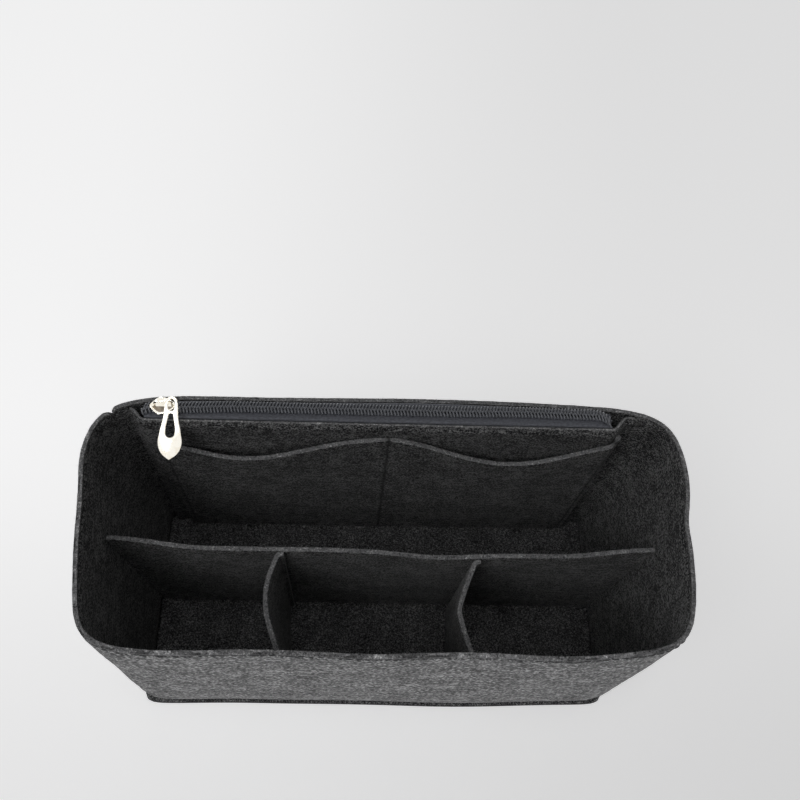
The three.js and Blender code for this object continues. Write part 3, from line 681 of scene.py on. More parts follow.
def finishes(shape):
    """The materials, made once."""
    if not MATERIALS:
        finish = shape.finish
        # Streaks: size in millimetres, turn and detail
        along = (((2.0, 1.9, 1), 0.06, 1.0), ((1.1, 0.9, 1), -0.4, 1.0),
                 ((6.0, 4.0, 1), 0.3, 1.0))
        fine = (((1.1, 0.75, 1), 0.06, 1.0), ((0.75, 0.55, 1), -0.4, 1.0),
                ((4.5, 2.6, 1), 0.3, 1.0))
        crossways = (((0.9, 0.9, 0.9), 0.0, 1.0), ((0.55, 0.55, 0.55), 0.5, 1.0),
                     ((2, 2, 2), 0, 1.0))
        # Cut edges: the felt's tones 2.3 times paler, partly the paler fuzz of cut felt and
        # partly a painted highlight of the light from above on the top edges.
        cut = toned(finish, 2.3)
        # Dark edge of the base: the felt's tones at a third, a painted contact shadow where the
        # base stands out under the wall.
        pressed = toned(finish, 0.32)
        MATERIALS.update(
            felt=felt_material("needled_polyester_felt", finish, "UV", along, 0.25),
            inside=felt_material("needled_felt_inside", finish, "UV", fine, 0.18),
            floor=felt_material("needled_felt_floor", finish, "UV", crossways, 0.32),
            cut=felt_material("cut_felt_edge_painted_highlight", cut, "Object", crossways, 0.55),
            pressed=felt_material("pressed_felt_edge", pressed, "Object", crossways, 0.4),
            thread=thread_material(finish), tape=tape_material(finish),
            coil=coil_material(finish),
            metal=metal_material("pale_gold_plated_zinc", finish.metal, finish.metal_deep),
            # Painted shade on the front part of the slider's dish.
            hollow=metal_material("gold_plating_in_hollows", finish.hollow,
                                  shade(finish.hollow, 0.4)))
    return MATERIALS


def show(bm, name, materials):
    """Puts a finished bmesh in the scene as a piece at the origin."""
    mesh = bpy.data.meshes.new(name)
    bm.to_mesh(mesh)
    bm.free()
    for material in materials:
        mesh.materials.append(material)
    mesh.polygons.foreach_set("use_smooth", [True] * len(mesh.polygons))
    piece = bpy.data.objects.new(name, mesh)
    bpy.context.scene.collection.objects.link(piece)
    return piece


def settle(piece):
    """Applies a piece's modifiers to its mesh."""
    bpy.context.view_layer.update()
    graph = bpy.context.evaluated_depsgraph_get()
    made = bpy.data.meshes.new_from_object(piece.evaluated_get(graph))
    old = piece.data
    piece.modifiers.clear()
    piece.data = made
    bpy.data.meshes.remove(old)
    made.name = piece.name
    return piece


def round_edges(piece, width):
    """Rounds the sharp edges of a thickened sheet."""
    rounding = piece.modifiers.new("cut edges", "BEVEL")
    rounding.width = width
    rounding.segments = 2
    rounding.limit_method = "ANGLE"
    rounding.angle_limit = SHARP


def dress(piece, body, slot, *nodes):
    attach(piece, body)
    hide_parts(*nodes)
    return piece


def even_steps(path, count):
    """Shares of a path, 0 to 1, that split it into equal lengths."""
    fine = count * 12
    points = [Vector(path(i / fine)) for i in range(fine + 1)]
    total = [0.0]
    for a, b in zip(points, points[1:]):
        total.append(total[-1] + (b - a).length)
    steps, at = [], 0
    for i in range(count + 1):
        goal = total[-1] * i / count
        while at < fine - 1 and total[at + 1] < goal:
            at += 1
        span = total[at + 1] - total[at]
        steps.append((at + clamp01((goal - total[at]) / span)) / fine)
    return steps


def rows_between(height, fine_top, fine_foot, step):
    """Shares of a height with closer rows near the top and the foot."""
    tops = [height - d * MM for d in fine_top]
    feet = [d * MM for d in fine_foot]
    low, high = feet[-1], tops[-1]
    count = max(1, round((high - low) / (step * MM)))
    middle = [mix(low, high, i / count) for i in range(1, count)]
    return [z / height for z in feet + middle + tops[::-1]]


def felt_sheet(shape, name, alongs, ups, place, thickness=None, pressed=None, felt=None):
    """A sheet laid out by place(along, up), given its thickness and rounded cut edges.

    thickness gives the share of the full thickness that is left at a place, as under
    stitches, and the next function how far the felt is darkened there: painted shade in
    the grooves and along the wall's foot, partly pressed felt along sewn rows."""
    t = shape.tub
    full = felt or t.felt
    columns, rows = len(alongs) - 1, len(ups) - 1
    spots = [[Vector(place(a, u)) for u in ups] for a in alongs]
    middle = rows // 2
    run = [0.0]
    for a, b in zip(spots, spots[1:]):
        run.append(run[-1] + (b[middle] - a[middle]).length)
    rise = []
    for column in spots:
        heights = [0.0]
        for a, b in zip(column, column[1:]):
            heights.append(heights[-1] + (b - a).length)
        rise.append(heights)
    bm = bmesh.new()
    bmesh.ops.create_grid(bm, x_segments=columns, y_segments=rows, size=0.5)
    uv = bm.loops.layers.uv.new("cloth")
    press = bm.loops.layers.uv.new("press")
    weight = bm.verts.layers.deform.new()
    cell = {}
    for vert in bm.verts:
        i, j = round((vert.co.x + 0.5) * columns), round((vert.co.y + 0.5) * rows)
        cell[vert] = (i, j)
        vert.co = spots[i][j]
        vert[weight][0] = thickness(alongs[i], ups[j]) if thickness else 1.0
    for face in bm.faces:
        for loop in face.loops:
            i, j = cell[loop.vert]
            loop[uv].uv = (run[i], rise[i][j])
            loop[press].uv = (pressed(alongs[i], ups[j]) if pressed else 0.0, 0.0)
    bmesh.ops.recalc_face_normals(bm, faces=bm.faces)
    materials = finishes(shape)
    piece = show(bm, name, (materials["inside"], materials["cut"]) if not felt else
                 (materials["tape"], materials["tape"]))
    piece.vertex_groups.new(name="thickness")
    solid = piece.modifiers.new("thickness", "SOLIDIFY")
    solid.thickness = full
    solid.offset = 0
    solid.use_even_offset = True
    solid.vertex_group = "thickness"
    solid.thickness_vertex_group = 0.0
    # The cut edges take the second material; on felt its pale tone is partly a painted highlight.
    solid.material_offset_rim = 1
    round_edges(piece, t.edge_rounding if not felt else full * 0.2)
    settle(piece)
    if not felt:
        lump(piece, t.unevenness, t.lump, name)
    piece.vertex_groups.clear()
    return piece


def seed_of(name):
    return sum(ord(c) * (i + 1) for i, c in enumerate(name))


def lump(piece, depth, size, name):
    """Small lumps on both faces of the felt."""
    offset = Vector((seed_of(name) % 97, 0, 0))
    moves = []
    for vert in piece.data.vertices:
        near = noise.noise(vert.co / size + offset)
        fine = noise.noise(vert.co / (size * 0.33) + offset)
        moves.append(vert.co + vert.normal * depth * (near + 0.6 * fine))
    piece.data.vertices.foreach_set("co", [c for move in moves for c in move])
    piece.data.update()


def waved(shape, point, along, strength, seed):
    """A point of standing felt moved sideways by its slow waves."""
    t = shape.tub
    sway = noise.noise(point / t.wave_size + Vector((seed, 0, 0))) * t.wave * strength
    return point + along * sway


class WallBand(Operator):
    """Build the felt strip that runs round all four sides."""
    bl_idname = "organizer.wall_band"
    bl_label = "Wall band"

    def execute(self, context):
        s = Shape(context.scene)
        t, th = s.tub, s.thread

        def place(along, up):
            p, q = s.band_square(along)
            z = mix(s.floor, s.rim(along), up)
            ledge = t.ledge * smooth(0.75, 0.98, -q) * clamp01(1 - up / 0.2) ** 2
            x, y = s.outline(p, q, z, s.half + ledge)
            out = Vector((x / t.rim_length, y / t.rim_depth, 0)).normalized()
            return waved(s, Vector((x, y, z)), out, smooth(0.05, 0.6, up), 3)

        def thickness(along, up):
            drop = (1 - up) * (s.rim(along) - s.floor)
            groove = (1 - th.groove) * bell(drop, th.rim_drop, 1.2 * MM)
            return 1 - groove - 0.2 * bell(drop, 0, 2 * MM)

        # Painted shade: a dark row in the groove under the rim's stitches, and a softer dark band
        # along the wall's foot for the shadow where it meets the base.
        def pressed(along, up):
            drop = (1 - up) * (s.rim(along) - s.floor)
            foot = up * (s.rim(along) - s.floor)
            row = bell(drop, th.rim_drop - 0.4 * MM, 1.2 * MM)
            return 0.75 * row + 0.3 * bell(foot, 0, 6 * MM)

        def middle(along):
            return place(along, 0.6)

        near_rim = (0, 0.7, 1.3, 1.9, 2.5, 3.1, 3.8, 4.6, 5.6, 7.5, 10)
        near_foot = (0, 1, 2.5, 4.5, 7, 10)
        ups = rows_between(t.height - s.floor, near_rim, near_foot, 3.2)
        steps = even_steps(middle, 430)
        near_seam = [d * 1e-4 for d in (13, 26, 39, 52, 65, 78, 91)]
        steps = sorted({*steps, *near_seam, *(1 - d for d in near_seam)})
        piece = felt_sheet(s, "wall_felt", steps, ups, place, thickness, pressed)
        piece.data.materials.append(finishes(s)["felt"])
        # On the inside faces that painted shade is kept only to the inside share.
        press = piece.data.uv_layers["press"].data
        for face in piece.data.polygons:
            if face.normal.xy.dot(face.center.xy) < 0:
                for loop in face.loop_indices:
                    press[loop].uv.x *= t.inside_shade
            elif face.material_index == 0:
                face.material_index = 2
        dress(piece, ORGANIZER, "charcoal_felt", "wall_band")
        return {"FINISHED"}


class BasePanel(Operator):
    """Build the felt panel under the tub."""
    bl_idname = "organizer.base_panel"
    bl_label = "Base panel"

    def execute(self, context):
        s = Shape(context.scene)
        z = s.half

        def edge(along):
            return Vector((*s.outline(*s.band_square(along), s.floor, 0), z))

        rings, ring_width = 4, 1.4 * MM
        steps = even_steps(edge, 300)[:-1]
        bm = bmesh.new()
        ring = [bm.verts.new(edge(a)) for a in steps]
        face = bm.faces.new(ring)
        for _ in range(rings):
            bmesh.ops.inset_region(bm, faces=[face], thickness=ring_width, use_even_offset=True)
        bmesh.ops.triangulate(bm, faces=[face])
        bmesh.ops.recalc_face_normals(bm, faces=bm.faces)
        uv = bm.loops.layers.uv.new("cloth")
        for face in bm.faces:
            for loop in face.loops:
                loop[uv].uv = loop.vert.co.xy
        materials = finishes(s)
        # Its cut edge takes the dark edge material, a painted contact shadow under the wall.
        piece = show(bm, "base_felt", (materials["floor"], materials["pressed"]))
        solid = piece.modifiers.new("thickness", "SOLIDIFY")
        solid.thickness = s.tub.felt
        solid.offset = 0
        solid.material_offset_rim = 1
        round_edges(piece, s.tub.edge_rounding)
        settle(piece)
        dress(piece, ORGANIZER, "charcoal_felt", "base_panel")
        return {"FINISHED"}


class PocketPanels(Operator):
    """Build the zip panel along the back wall and the slip pocket panel on it."""
    bl_idname = "organizer.pocket_panels"
    bl_label = "Pocket panels"

    def execute(self, context):
        s = Shape(context.scene)
        p, th = s.pocket, s.thread
        pinch_reach = 5 * MM

        def left_of_edge(z):
            return 1 - (1 - p.pinched) * smooth(s.panel_top - pinch_reach, s.panel_top, z)

        def zip_place(along, up):
            x = mix(s.panel_left, s.panel_right, along)
            z = mix(s.floor, s.panel_top, up)
            back = s.half * (1 - left_of_edge(z))
            return Vector((x, s.zip_panel_y(x, z) + back, z))

        def zip_thickness(along, up):
            drop = (1 - up) * (s.panel_top - s.floor)
            groove = 1 - (1 - th.groove) * bell(drop, 2.6 * MM, 0.6 * MM)
            return left_of_edge(s.panel_top - drop) * groove

        near_zip = (0, 0.7, 1.4, 2, 2.6, 3.2, 4, 5.2, 7)
        ups = rows_between(s.panel_top - s.floor, near_zip, (0, 2), 4)
        alongs = even_steps(lambda a: zip_place(a, 1), 130)
        piece = felt_sheet(s, "zip_panel_felt", alongs, ups, zip_place, zip_thickness)
        dress(piece, ORGANIZER, "charcoal_felt", "zip_panel")

        def slip_place(along, up):
            x = mix(s.slip_left, s.slip_right, along)
            z = mix(s.floor, s.slip_top(x), up)
            point = Vector((x, s.slip_y(x, z), z))
            free = s.slip_open(x) ** 2 * up
            return waved(s, point, Vector((0, -1, 0)), 1.5 * free, 11)

        # The sewn rows are thinner and darker: partly pressed felt, partly painted shade in their
        # grooves.
        def sewn(along, up):
            x = mix(s.slip_left, s.slip_right, along)
            rows = ((0, 1.0), (s.slip_left + SLIP_SEAM, 0.6), (s.slip_right - SLIP_SEAM, 0.9))
            return max(depth * bell(x, row, 0.8 * MM) for row, depth in rows)

        def slip_thickness(along, up):
            return 1 - 0.55 * sewn(along, up)

        edges = [0, 0.006, 0.0105, 0.013, 0.0155, 0.02]
        span = s.slip_right - s.slip_left
        middle = -s.slip_left / span
        near = [middle + d * MM / span for d in (-3, -1.8, -0.9, 0, 0.9, 1.8, 3)]
        columns = 48
        left = [mix(edges[-1], near[0], i / columns) for i in range(1, columns)]
        right = [mix(near[-1], 1 - edges[-1], i / columns) for i in range(1, columns)]
        alongs = edges + left + near + right + [1 - e for e in edges[::-1]]
        ups = rows_between(p.slip_peak - s.floor, (0, 1, 2.2, 4), (0, 2), 3.5)
        piece = felt_sheet(s, "slip_pocket_felt", alongs, ups, slip_place, slip_thickness, sewn)
        dress(piece, ORGANIZER, "charcoal_felt", "slip_pocket_panel")
        return {"FINISHED"}


def joined(pieces):
    """One path out of several, each with its share of the whole."""
    def at(along, z):
        start = 0.0
        for part, path in pieces[:-1]:
            if along <= start + part:
                return path((along - start) / part, z)
            start += part
        part, path = pieces[-1]
        return path((along - start) / part, z)
    return at


class Dividers(Operator):
    """Build the long divider and the two cross dividers."""
    bl_idname = "organizer.dividers"
    bl_label = "Dividers"

    def long_path(self, s):
        d, t = s.divider, s.tub

        def at(along, z):
            left = s.side_x(d.left_y, z, t.felt, -1) - t.sewn_gap
            right = s.side_x(d.right_y, z, t.felt, 1) - t.sewn_gap
            x = mix(-left, right, along)
            return x, s.divider_y(x, z)

        return at

    def cross_path(self, s, front_x, rear_x, bow, crease, skew):
        """From the front wall to the long divider, both ends folded to the right. The run
        bows to the left, or with a crease of 1 is bent there, and a skew below 1 moves that
        place toward the front."""
        d = s.divider

        def front_line(x, z):
            return s.front_y(x, z, s.tub.felt) + s.lift

        def rear_line(x, z):
            return s.ahead(s.divider_y, x, z, s.layer)

        def lean(z):
            return bow * z / d.height

        def slope(side, z):
            run = rear_line(rear_x, z) - front_line(front_x, z)
            aside = side * mix(math.pi, 2, crease) * lean(z)
            return math.atan((rear_x - front_x + aside) / run)

        def flange(from_x, line, part, z):
            x = from_x + mix(d.fold, d.cross_flange, part)
            return x, line(x, z)

        def fold(from_x, line, side, part, z):
            turn = part * (math.pi / 2 - side * slope(side, z))
            x = from_x + d.fold * (1 - math.sin(turn))
            return x, line(from_x, z) - side * d.fold * (1 - math.cos(turn))

        def span(part, z):
            front = fold(front_x, front_line, -1, 1, z)
            rear = fold(rear_x, rear_line, 1, 1, z)
            lead = part ** skew
            away = abs(2 * lead - 1)
            soft = 0.006  # rounds the crease
            far = math.sqrt(1 + soft)
            tent = (far - math.sqrt(away ** 2 + soft)) / (far - math.sqrt(soft))
            bowed = mix(math.sin(math.pi * lead), tent, crease)
            return mix(front[0], rear[0], part) - lean(z) * bowed, mix(front[1], rear[1], part)

        return joined([(0.03, lambda part, z: flange(front_x, front_line, 1 - part, z)),
                       (0.05, lambda part, z: fold(front_x, front_line, -1, part, z)),
                       (0.84, span),
                       (0.05, lambda part, z: fold(rear_x, rear_line, 1, 1 - part, z)),
                       (0.03, lambda part, z: flange(rear_x, rear_line, part, z))])

    def build(self, s, name, path, top, columns, flat, node, seed, sideways):
        def place(along, up):
            z = mix(s.floor, top, up)
            x, y = path(along, z)
            free = math.sin(math.pi * along) * smooth(0, 0.5, up)
            ruffle = 0.35 * MM * noise.noise(Vector((along * 9, seed, 0))) * up
            return waved(s, Vector((x, y, z + ruffle)), Vector(sideways), free * 1.2, seed)

        ups = rows_between(top - s.floor, (0, 0.9, 2, 4), (0, 2), 3.4)
        piece = felt_sheet(s, name, even_steps(lambda a: place(a, 1), columns), ups, place)
        dress(piece, ORGANIZER, "charcoal_felt", node)

    def execute(self, context):
        s = Shape(context.scene)
        d = s.divider
        self.build(s, "long_divider_felt", self.long_path(s), d.height, 170,
                   (0.272, 0.112), "long_divider", 5, (0, 1, 0))
        cross_top = d.height - d.cross_drop
        left = self.cross_path(s, d.front_left_x, d.left_x, d.left_bow, 0.0, 1.15)
        self.build(s, "left_cross_felt", left, cross_top, 60, (0.064, 0.111),
                   "cross_divider_left", 7, (1, 0, 0))
        right = self.cross_path(s, d.front_right_x, d.right_x, d.right_bow, 0.75, 1.0)
        self.build(s, "right_cross_felt", right, cross_top, 60, (0.064, 0.111),
                   "cross_divider_right", 9, (1, 0, 0))
        return {"FINISHED"}


class ZipTapes(Operator):
    """Build the two woven tapes that carry the coils."""
    bl_idname = "organizer.zip_tapes"
    bl_label = "Zip tapes"

    def execute(self, context):
        s = Shape(context.scene)
        z, t = s.zip, s.tub
        lift = t.sewn_gap + z.tape / 2
        flat, turned = 0.3, 0.45  # where across the tape its fold starts and ends

        def rear_leg(x, height):
            return s.back_y(x, height, t.felt) - lift

        def front_leg(x, height):
            return s.zip_panel_y(x, height) + s.half + lift

        for name, node, side, leg in (("rear_tape", "zip_tape_rear", 1, rear_leg),
                                      ("front_tape", "zip_tape_front", -1, front_leg)):
            def place(along, up):
                x = mix(s.loose_left, s.chain_right, along)
                middle = s.chain(x)
                bend = middle.y - s.zip_y
                drop = middle.z - s.zip_z
                inner = s.zip_y + bend + side * z.slot / 2
                edge = leg(x, s.tape_z)
                fallen = drop * (1 - up)
                if up <= flat:
                    return x, mix(inner, edge - side * z.tape_fold, up / flat), s.tape_z + fallen
                if up <= turned:
                    turn = (up - flat) / (turned - flat) * math.pi / 2
                    y = edge - side * z.tape_fold * (1 - math.sin(turn))
                    return x, y, s.tape_z - z.tape_fold * (1 - math.cos(turn)) + fallen
                hangs = (up - turned) / (1 - turned)
                height = s.tape_z - z.tape_fold - z.tape_depth * hangs
                return x, leg(x, height), height

            ups = [0, 0.1, 0.2, flat, 0.335, 0.37, 0.41, turned, 0.6, 0.8, 1]
            columns = 90
            alongs = [i / columns for i in range(columns + 1)]
            piece = felt_sheet(s, name, alongs, ups, place, felt=z.tape)
            dress(piece, ORGANIZER, "zip_tape", node)
        return {"FINISHED"}


def curve_mesh(name, curve, weld):
    """A curve's surface as a bmesh, its seams welded."""
    holder = bpy.data.objects.new(name + "_line", curve)
    bpy.context.scene.collection.objects.link(holder)
    bpy.context.view_layer.update()
    graph = bpy.context.evaluated_depsgraph_get()
    mesh = bpy.data.meshes.new_from_object(holder.evaluated_get(graph))
    bpy.data.objects.remove(holder)
    bpy.data.curves.remove(curve)
    bm = bmesh.new()
    bm.from_mesh(mesh)
    bpy.data.meshes.remove(mesh)
    bmesh.ops.remove_doubles(bm, verts=bm.verts, dist=weld)
    bmesh.ops.recalc_face_normals(bm, faces=bm.faces)
    for face in bm.faces:
        face.material_index = 0
    return bm


def tubes(name, lines, radius, material, resolution=1):
    """Round strands along lines of points, as one mesh. A point may carry its own share of
    the radius as a fourth number."""
    curve = bpy.data.curves.new(name, "CURVE")
    curve.dimensions = "3D"
    curve.bevel_depth = radius
    curve.bevel_resolution = resolution
    curve.use_fill_caps = True
    for line in lines:
        spline = curve.splines.new("POLY")
        spline.points.add(len(line) - 1)
        spline.points.foreach_set("co", [c for p in line for c in (p[0], p[1], p[2], 1.0)])
        spline.points.foreach_set("radius", [p[3] if len(p) > 3 else 1.0 for p in line])
    return show(curve_mesh(name, curve, 1e-7), name, (material,))


class ZipCoils(Operator):
    """Build the two nylon coils, their heads locked into each other."""
    bl_idname = "organizer.zip_coils"
    bl_label = "Zip coils"

    def execute(self, context):
        s = Shape(context.scene)
        z = s.zip
        outer = z.chain_width / 2 - z.strand / 2
        middle, reach = (outer - z.interlock) / 2, (outer + z.interlock) / 2
        height = z.coil_height / 2 - z.strand / 2
        count = int((s.chain_right - s.loose_left) / z.pitch)
        around = 12
        for name, node, side in (("rear_coil", "zip_coil_rear", 1),
                                 ("front_coil", "zip_coil_front", -1)):
            line = []
            start = s.loose_left + (z.pitch / 2 if side > 0 else 0)
            for k in range(count):
                for j in range(around):
                    turn = 2 * math.pi * j / around
                    if turn < math.pi:
                        x = -z.slant * (1 - math.cos(turn)) / 2
                    else:
                        x = -z.slant + (z.pitch + z.slant) * (1 - math.cos(turn - math.pi)) / 2
                    across, up = math.cos(turn), math.sin(turn)
                    square = square_reach(across, up, 2.6)
                    x += start + k * z.pitch
                    spot = s.chain(x)
                    y = side * (middle + reach * across * square)
                    line.append((x, spot.y + y, spot.z + height * up * square))
            piece = tubes(name, [line], z.strand / 2, finishes(s)["coil"])
            dress(piece, ORGANIZER, "nylon_coil", node)
        return {"FINISHED"}


class ZipSlider(Operator):
    """Build the slider: two dished plates, a neck and the bridge for the pull."""
    bl_idname = "organizer.zip_slider"
    bl_label = "Zip slider"

    def plate(self, s, bm, top, width, tail_width, dish):
        """An almond plate with a rounded edge, a flat rim and a dished face."""
        z = s.zip
        nose, tail = -z.slider_length / 2, z.slider_length / 2
        wide, narrow = width / 2, tail_width / 2
        ring = []
        steps = 64
        for i in range(steps):
            turn = 2 * math.pi * i / steps
            across, along = math.sin(turn), -math.cos(turn)
            square = square_reach(across, along, 2.4)
            x = mix(nose, tail, 0.5 + along * square / 2)
            pointed = smooth(nose - 2 * MM, nose + z.shoulder, x)
            ahead = mix(z.slider_nose / 2, wide, pointed)
            half = mix(ahead, narrow, smooth(nose + z.shoulder, tail, x))
            ring.append(bm.verts.new((x, half * across * square, top)))
        face = bm.faces.new(ring)
        edge = 0.28 * MM
        layers = ((0.3, -z.plate), (0.0, edge - z.plate), (0.0, -edge), (0.3, 0.0), (0.75, 0.0),
                  (1.15, -dish), (2.0, -dish * 1.3))
        grown = [face]
        for step, (inset, lift) in enumerate(layers):
            if step:
                made = bmesh.ops.extrude_face_region(bm, geom=[grown[-1]])["geom"]
                grown.append(next(f for f in made if isinstance(f, bmesh.types.BMFace)))
                if step > 1:
                    bmesh.ops.delete(bm, geom=[grown[-2]], context="FACES_ONLY")
            scale_x = 1 - inset * MM / (z.slider_length / 2)
            scale_y = 1 - inset * MM / wide
            verts = list(grown[-1].verts)
            for vert in verts:
                vert.co.z = top + lift
            before = layers[step - 1][0] if step else 0.0
            bmesh.ops.scale(bm, verts=verts, vec=(
                scale_x / (1 - before * MM / (z.slider_length / 2)),
                scale_y / (1 - before * MM / wide), 1))
        # Ahead of the shade line the dish takes the second material: a painted shade, darker and
        # browner, where the dish turns from the light.
        hollow = list(dict.fromkeys(f for edge in grown[-1].edges for f in edge.link_faces))
        edges = list(dict.fromkeys(edge for f in hollow for edge in f.edges))
        verts = list(dict.fromkeys(vert for f in hollow for vert in f.verts))
        split = bmesh.ops.bisect_plane(bm, geom=hollow + edges + verts,
                                       plane_co=(0, z.shade_edge, 0), plane_no=(0, 1, 0))["geom"]
        for part in split:
            if isinstance(part, bmesh.types.BMFace):
                part.material_index = int(part.calc_center_median().y < z.shade_edge)

    def execute(self, context):
        s = Shape(context.scene)
        z, p = s.zip, s.pull
        bm = bmesh.new()
        dish, under_dish = 0.4 * MM, 0.05 * MM
        self.plate(s, bm, s.plate_top, z.slider_width, z.slider_tail, dish)
        self.plate(s, bm, s.lower_plate_top, z.under_width, z.under_tail, under_dish)
        neck = bmesh.ops.create_cube(bm, size=1)["verts"]
        neck_length, neck_width, neck_from_nose = 2.2 * MM, 0.6 * MM, 0.8 * MM
        neck_low = s.lower_plate_top - z.plate / 2
        neck_high = s.plate_top - z.plate / 2
        bmesh.ops.scale(bm, vec=(neck_length, neck_width, neck_high - neck_low), verts=neck)
        neck_x = -z.slider_length / 2 + neck_from_nose + neck_length / 2
        bmesh.ops.translate(bm, vec=(neck_x, 0, (neck_low + neck_high) / 2), verts=neck)
        bmesh.ops.translate(bm, vec=(s.slider_x, s.zip_y, s.zip_z), verts=bm.verts)
        bmesh.ops.recalc_face_normals(bm, faces=bm.faces)
        metal = finishes(s)["metal"]
        piece = show(bm, "slider_casting", (metal, finishes(s)["hollow"]))
        dress(piece, SLIDER, "pale_gold_metal", "slider")

        radius = z.bridge_thickness / 2
        under = 1.6 * MM
        clear = under / 2 / math.tan(p.steepest) + p.thickness / 2 / math.sin(p.steepest)
        clear += z.clearance / 2
        top = s.plate_top + p.hinge_rise + clear + radius
        foot = s.plate_top - z.plate / 2
        low_nose, low_tail = z.bridge_nose + radius, z.bridge_tail - radius
        bend, rise = 1.9 * MM, 4.2 * MM
        arch = []
        for i in range(13):
            turn = i / 12 * math.pi / 2
            arch.append((low_nose + rise * (1 - math.cos(turn)), mix(foot, top, math.sin(turn))))
        for i in range(9):
            turn = i / 8 * math.pi / 2
            x = low_tail - bend * (1 - math.sin(turn))
            arch.append((x, top - bend * (1 - math.cos(turn))))
        arch.append((low_tail, foot))
        line = [(s.slider_x + x, s.zip_y, s.zip_z + h) for x, h in arch]
        bridge = tubes("slider_bridge", [line], radius, metal, resolution=4)
        for vert in bridge.data.vertices:
            x = vert.co.x - s.slider_x
            widened = smooth(z.bridge_nose, z.bridge_nose + 4 * MM, x)
            leaf = mix(z.bridge_leg, z.bridge_width, widened)
            width = mix(leaf, z.bridge_leg, smooth(0.8 * MM, 3.4 * MM, x))
            vert.co.y = s.zip_y + (vert.co.y - s.zip_y) * width / z.bridge_thickness
        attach(bridge, SLIDER)
        return {"FINISHED"}


class PullTab(Operator):
    """Build the teardrop pull, its eye round the slider's bridge."""
    bl_idname = "organizer.pull_tab"
    bl_label = "Pull"

    def rounded(self, name, loops, edge, half):
        """A flat plate with holes and rounded edges, from closed loops of points."""
        curve = bpy.data.curves.new(name, "CURVE")
        curve.dimensions = "2D"
        curve.fill_mode = "BOTH"
        curve.extrude = half - edge
        curve.bevel_depth = edge
        curve.bevel_resolution = 3
        curve.offset = -edge
        for loop in loops:
            spline = curve.splines.new("BEZIER")
            spline.bezier_points.add(len(loop) - 1)
            spline.use_cyclic_u = True
            spline.resolution_u = 10
            for point, (x, y, kind) in zip(spline.bezier_points, loop):
                point.co = (x, y, 0)
                point.handle_left_type = point.handle_right_type = kind
        return curve_mesh(name, curve, 1e-6)

    def execute(self, context):
        s = Shape(context.scene)
        p = s.pull
        half, wide = p.eye_width / 2, p.width / 2
        auto = "AUTO"
        outer = [(0, p.eye_top, auto), (-half * 0.78, p.eye_top * 0.62, auto), (-half, 0, auto),
                 (-mix(half, wide, 0.3), -p.widest * 0.4, auto),
                 (-mix(half, wide, 0.8), -p.widest * 0.75, auto), (-wide, -p.widest, auto),
                 (-wide * 0.72, -mix(p.widest, p.tip, 0.55), auto), (0, -p.tip, "VECTOR"),
                 (wide * 0.72, -mix(p.widest, p.tip, 0.55), auto), (wide, -p.widest, auto),
                 (mix(half, wide, 0.8), -p.widest * 0.75, auto),
                 (mix(half, wide, 0.3), -p.widest * 0.4, auto), (half, 0, auto),
                 (half * 0.78, p.eye_top * 0.62, auto)]
        eye_half = p.eye_hole / 2
        eye_middle = (p.eye_hole_top - p.eye_hole_foot) / 2
        eye = [(0, p.eye_hole_top, auto), (eye_half, eye_middle, auto),
               (0, -p.eye_hole_foot, auto), (-eye_half, eye_middle, auto)]
        top, slot = p.slot_top_width / 2, p.slot_width / 2
        hole = [(-top, -p.slot_top, "VECTOR"), (top, -p.slot_top, "VECTOR"),
                (mix(top, slot, 0.6), -mix(p.slot_top, p.slot_widest, 0.5), auto),
                (slot, -p.slot_widest, auto), (slot * 0.68, -p.slot_foot, auto),
                (-slot * 0.68, -p.slot_foot, auto), (-slot, -p.slot_widest, auto),
                (-mix(top, slot, 0.6), -mix(p.slot_top, p.slot_widest, 0.5), auto)]
        edge, grid = 0.4 * MM, 0.16 * MM
        bm = self.rounded("pull_plate", [outer, eye, hole], edge, p.thickness / 2)
        piece = show(bm, "pull_casting", (finishes(s)["metal"],))
        remesh = piece.modifiers.new("cast", "REMESH")
        remesh.mode = "VOXEL"
        remesh.voxel_size = grid
        remesh.use_smooth_shade = True
        soften = piece.modifiers.new("polished", "SMOOTH")
        soften.factor = 0.5
        soften.iterations = 10
        settle(piece)
        tip = Matrix.Translation((p.aside, -p.tip, 0))
        aslant = tip @ Matrix.Rotation(-p.aslant, 4, "Z") @ Matrix.Translation((0, p.tip, 0))
        lean = Matrix.Rotation(math.pi / 2 - p.lean, 4, "X") @ aslant
        hinge = Vector((s.slider_x + p.offset, s.zip_y, s.zip_z + s.plate_top + p.hinge_rise))
        rails_top, drop_top, drop_full = -2 * MM, -9 * MM, -19 * MM
        dome_middle, dome_reach = 20 * MM, 9 * MM
        for vert in piece.data.vertices:
            x, y, z = vert.co
            drop = smooth(drop_top, drop_full, y)
            crown = clamp01(1 - (x / (wide * 1.02)) ** 2)
            crown *= clamp01(1 - ((y + dome_middle) / dome_reach) ** 2)
            rails = 0.35 * smooth(rails_top, drop_top, y)
            swell = 1 + rails + drop * 0.2
            z *= swell
            if z > 0:
                z += p.dome * drop * crown
            vert.co = lean @ Vector((x, y, z)) + hinge
        piece.data.polygons.foreach_set("use_smooth", [True] * len(piece.data.polygons))
        piece.data.update()
        dress(piece, PULL, "pale_gold_metal", "pull_tab")
        return {"FINISHED"}


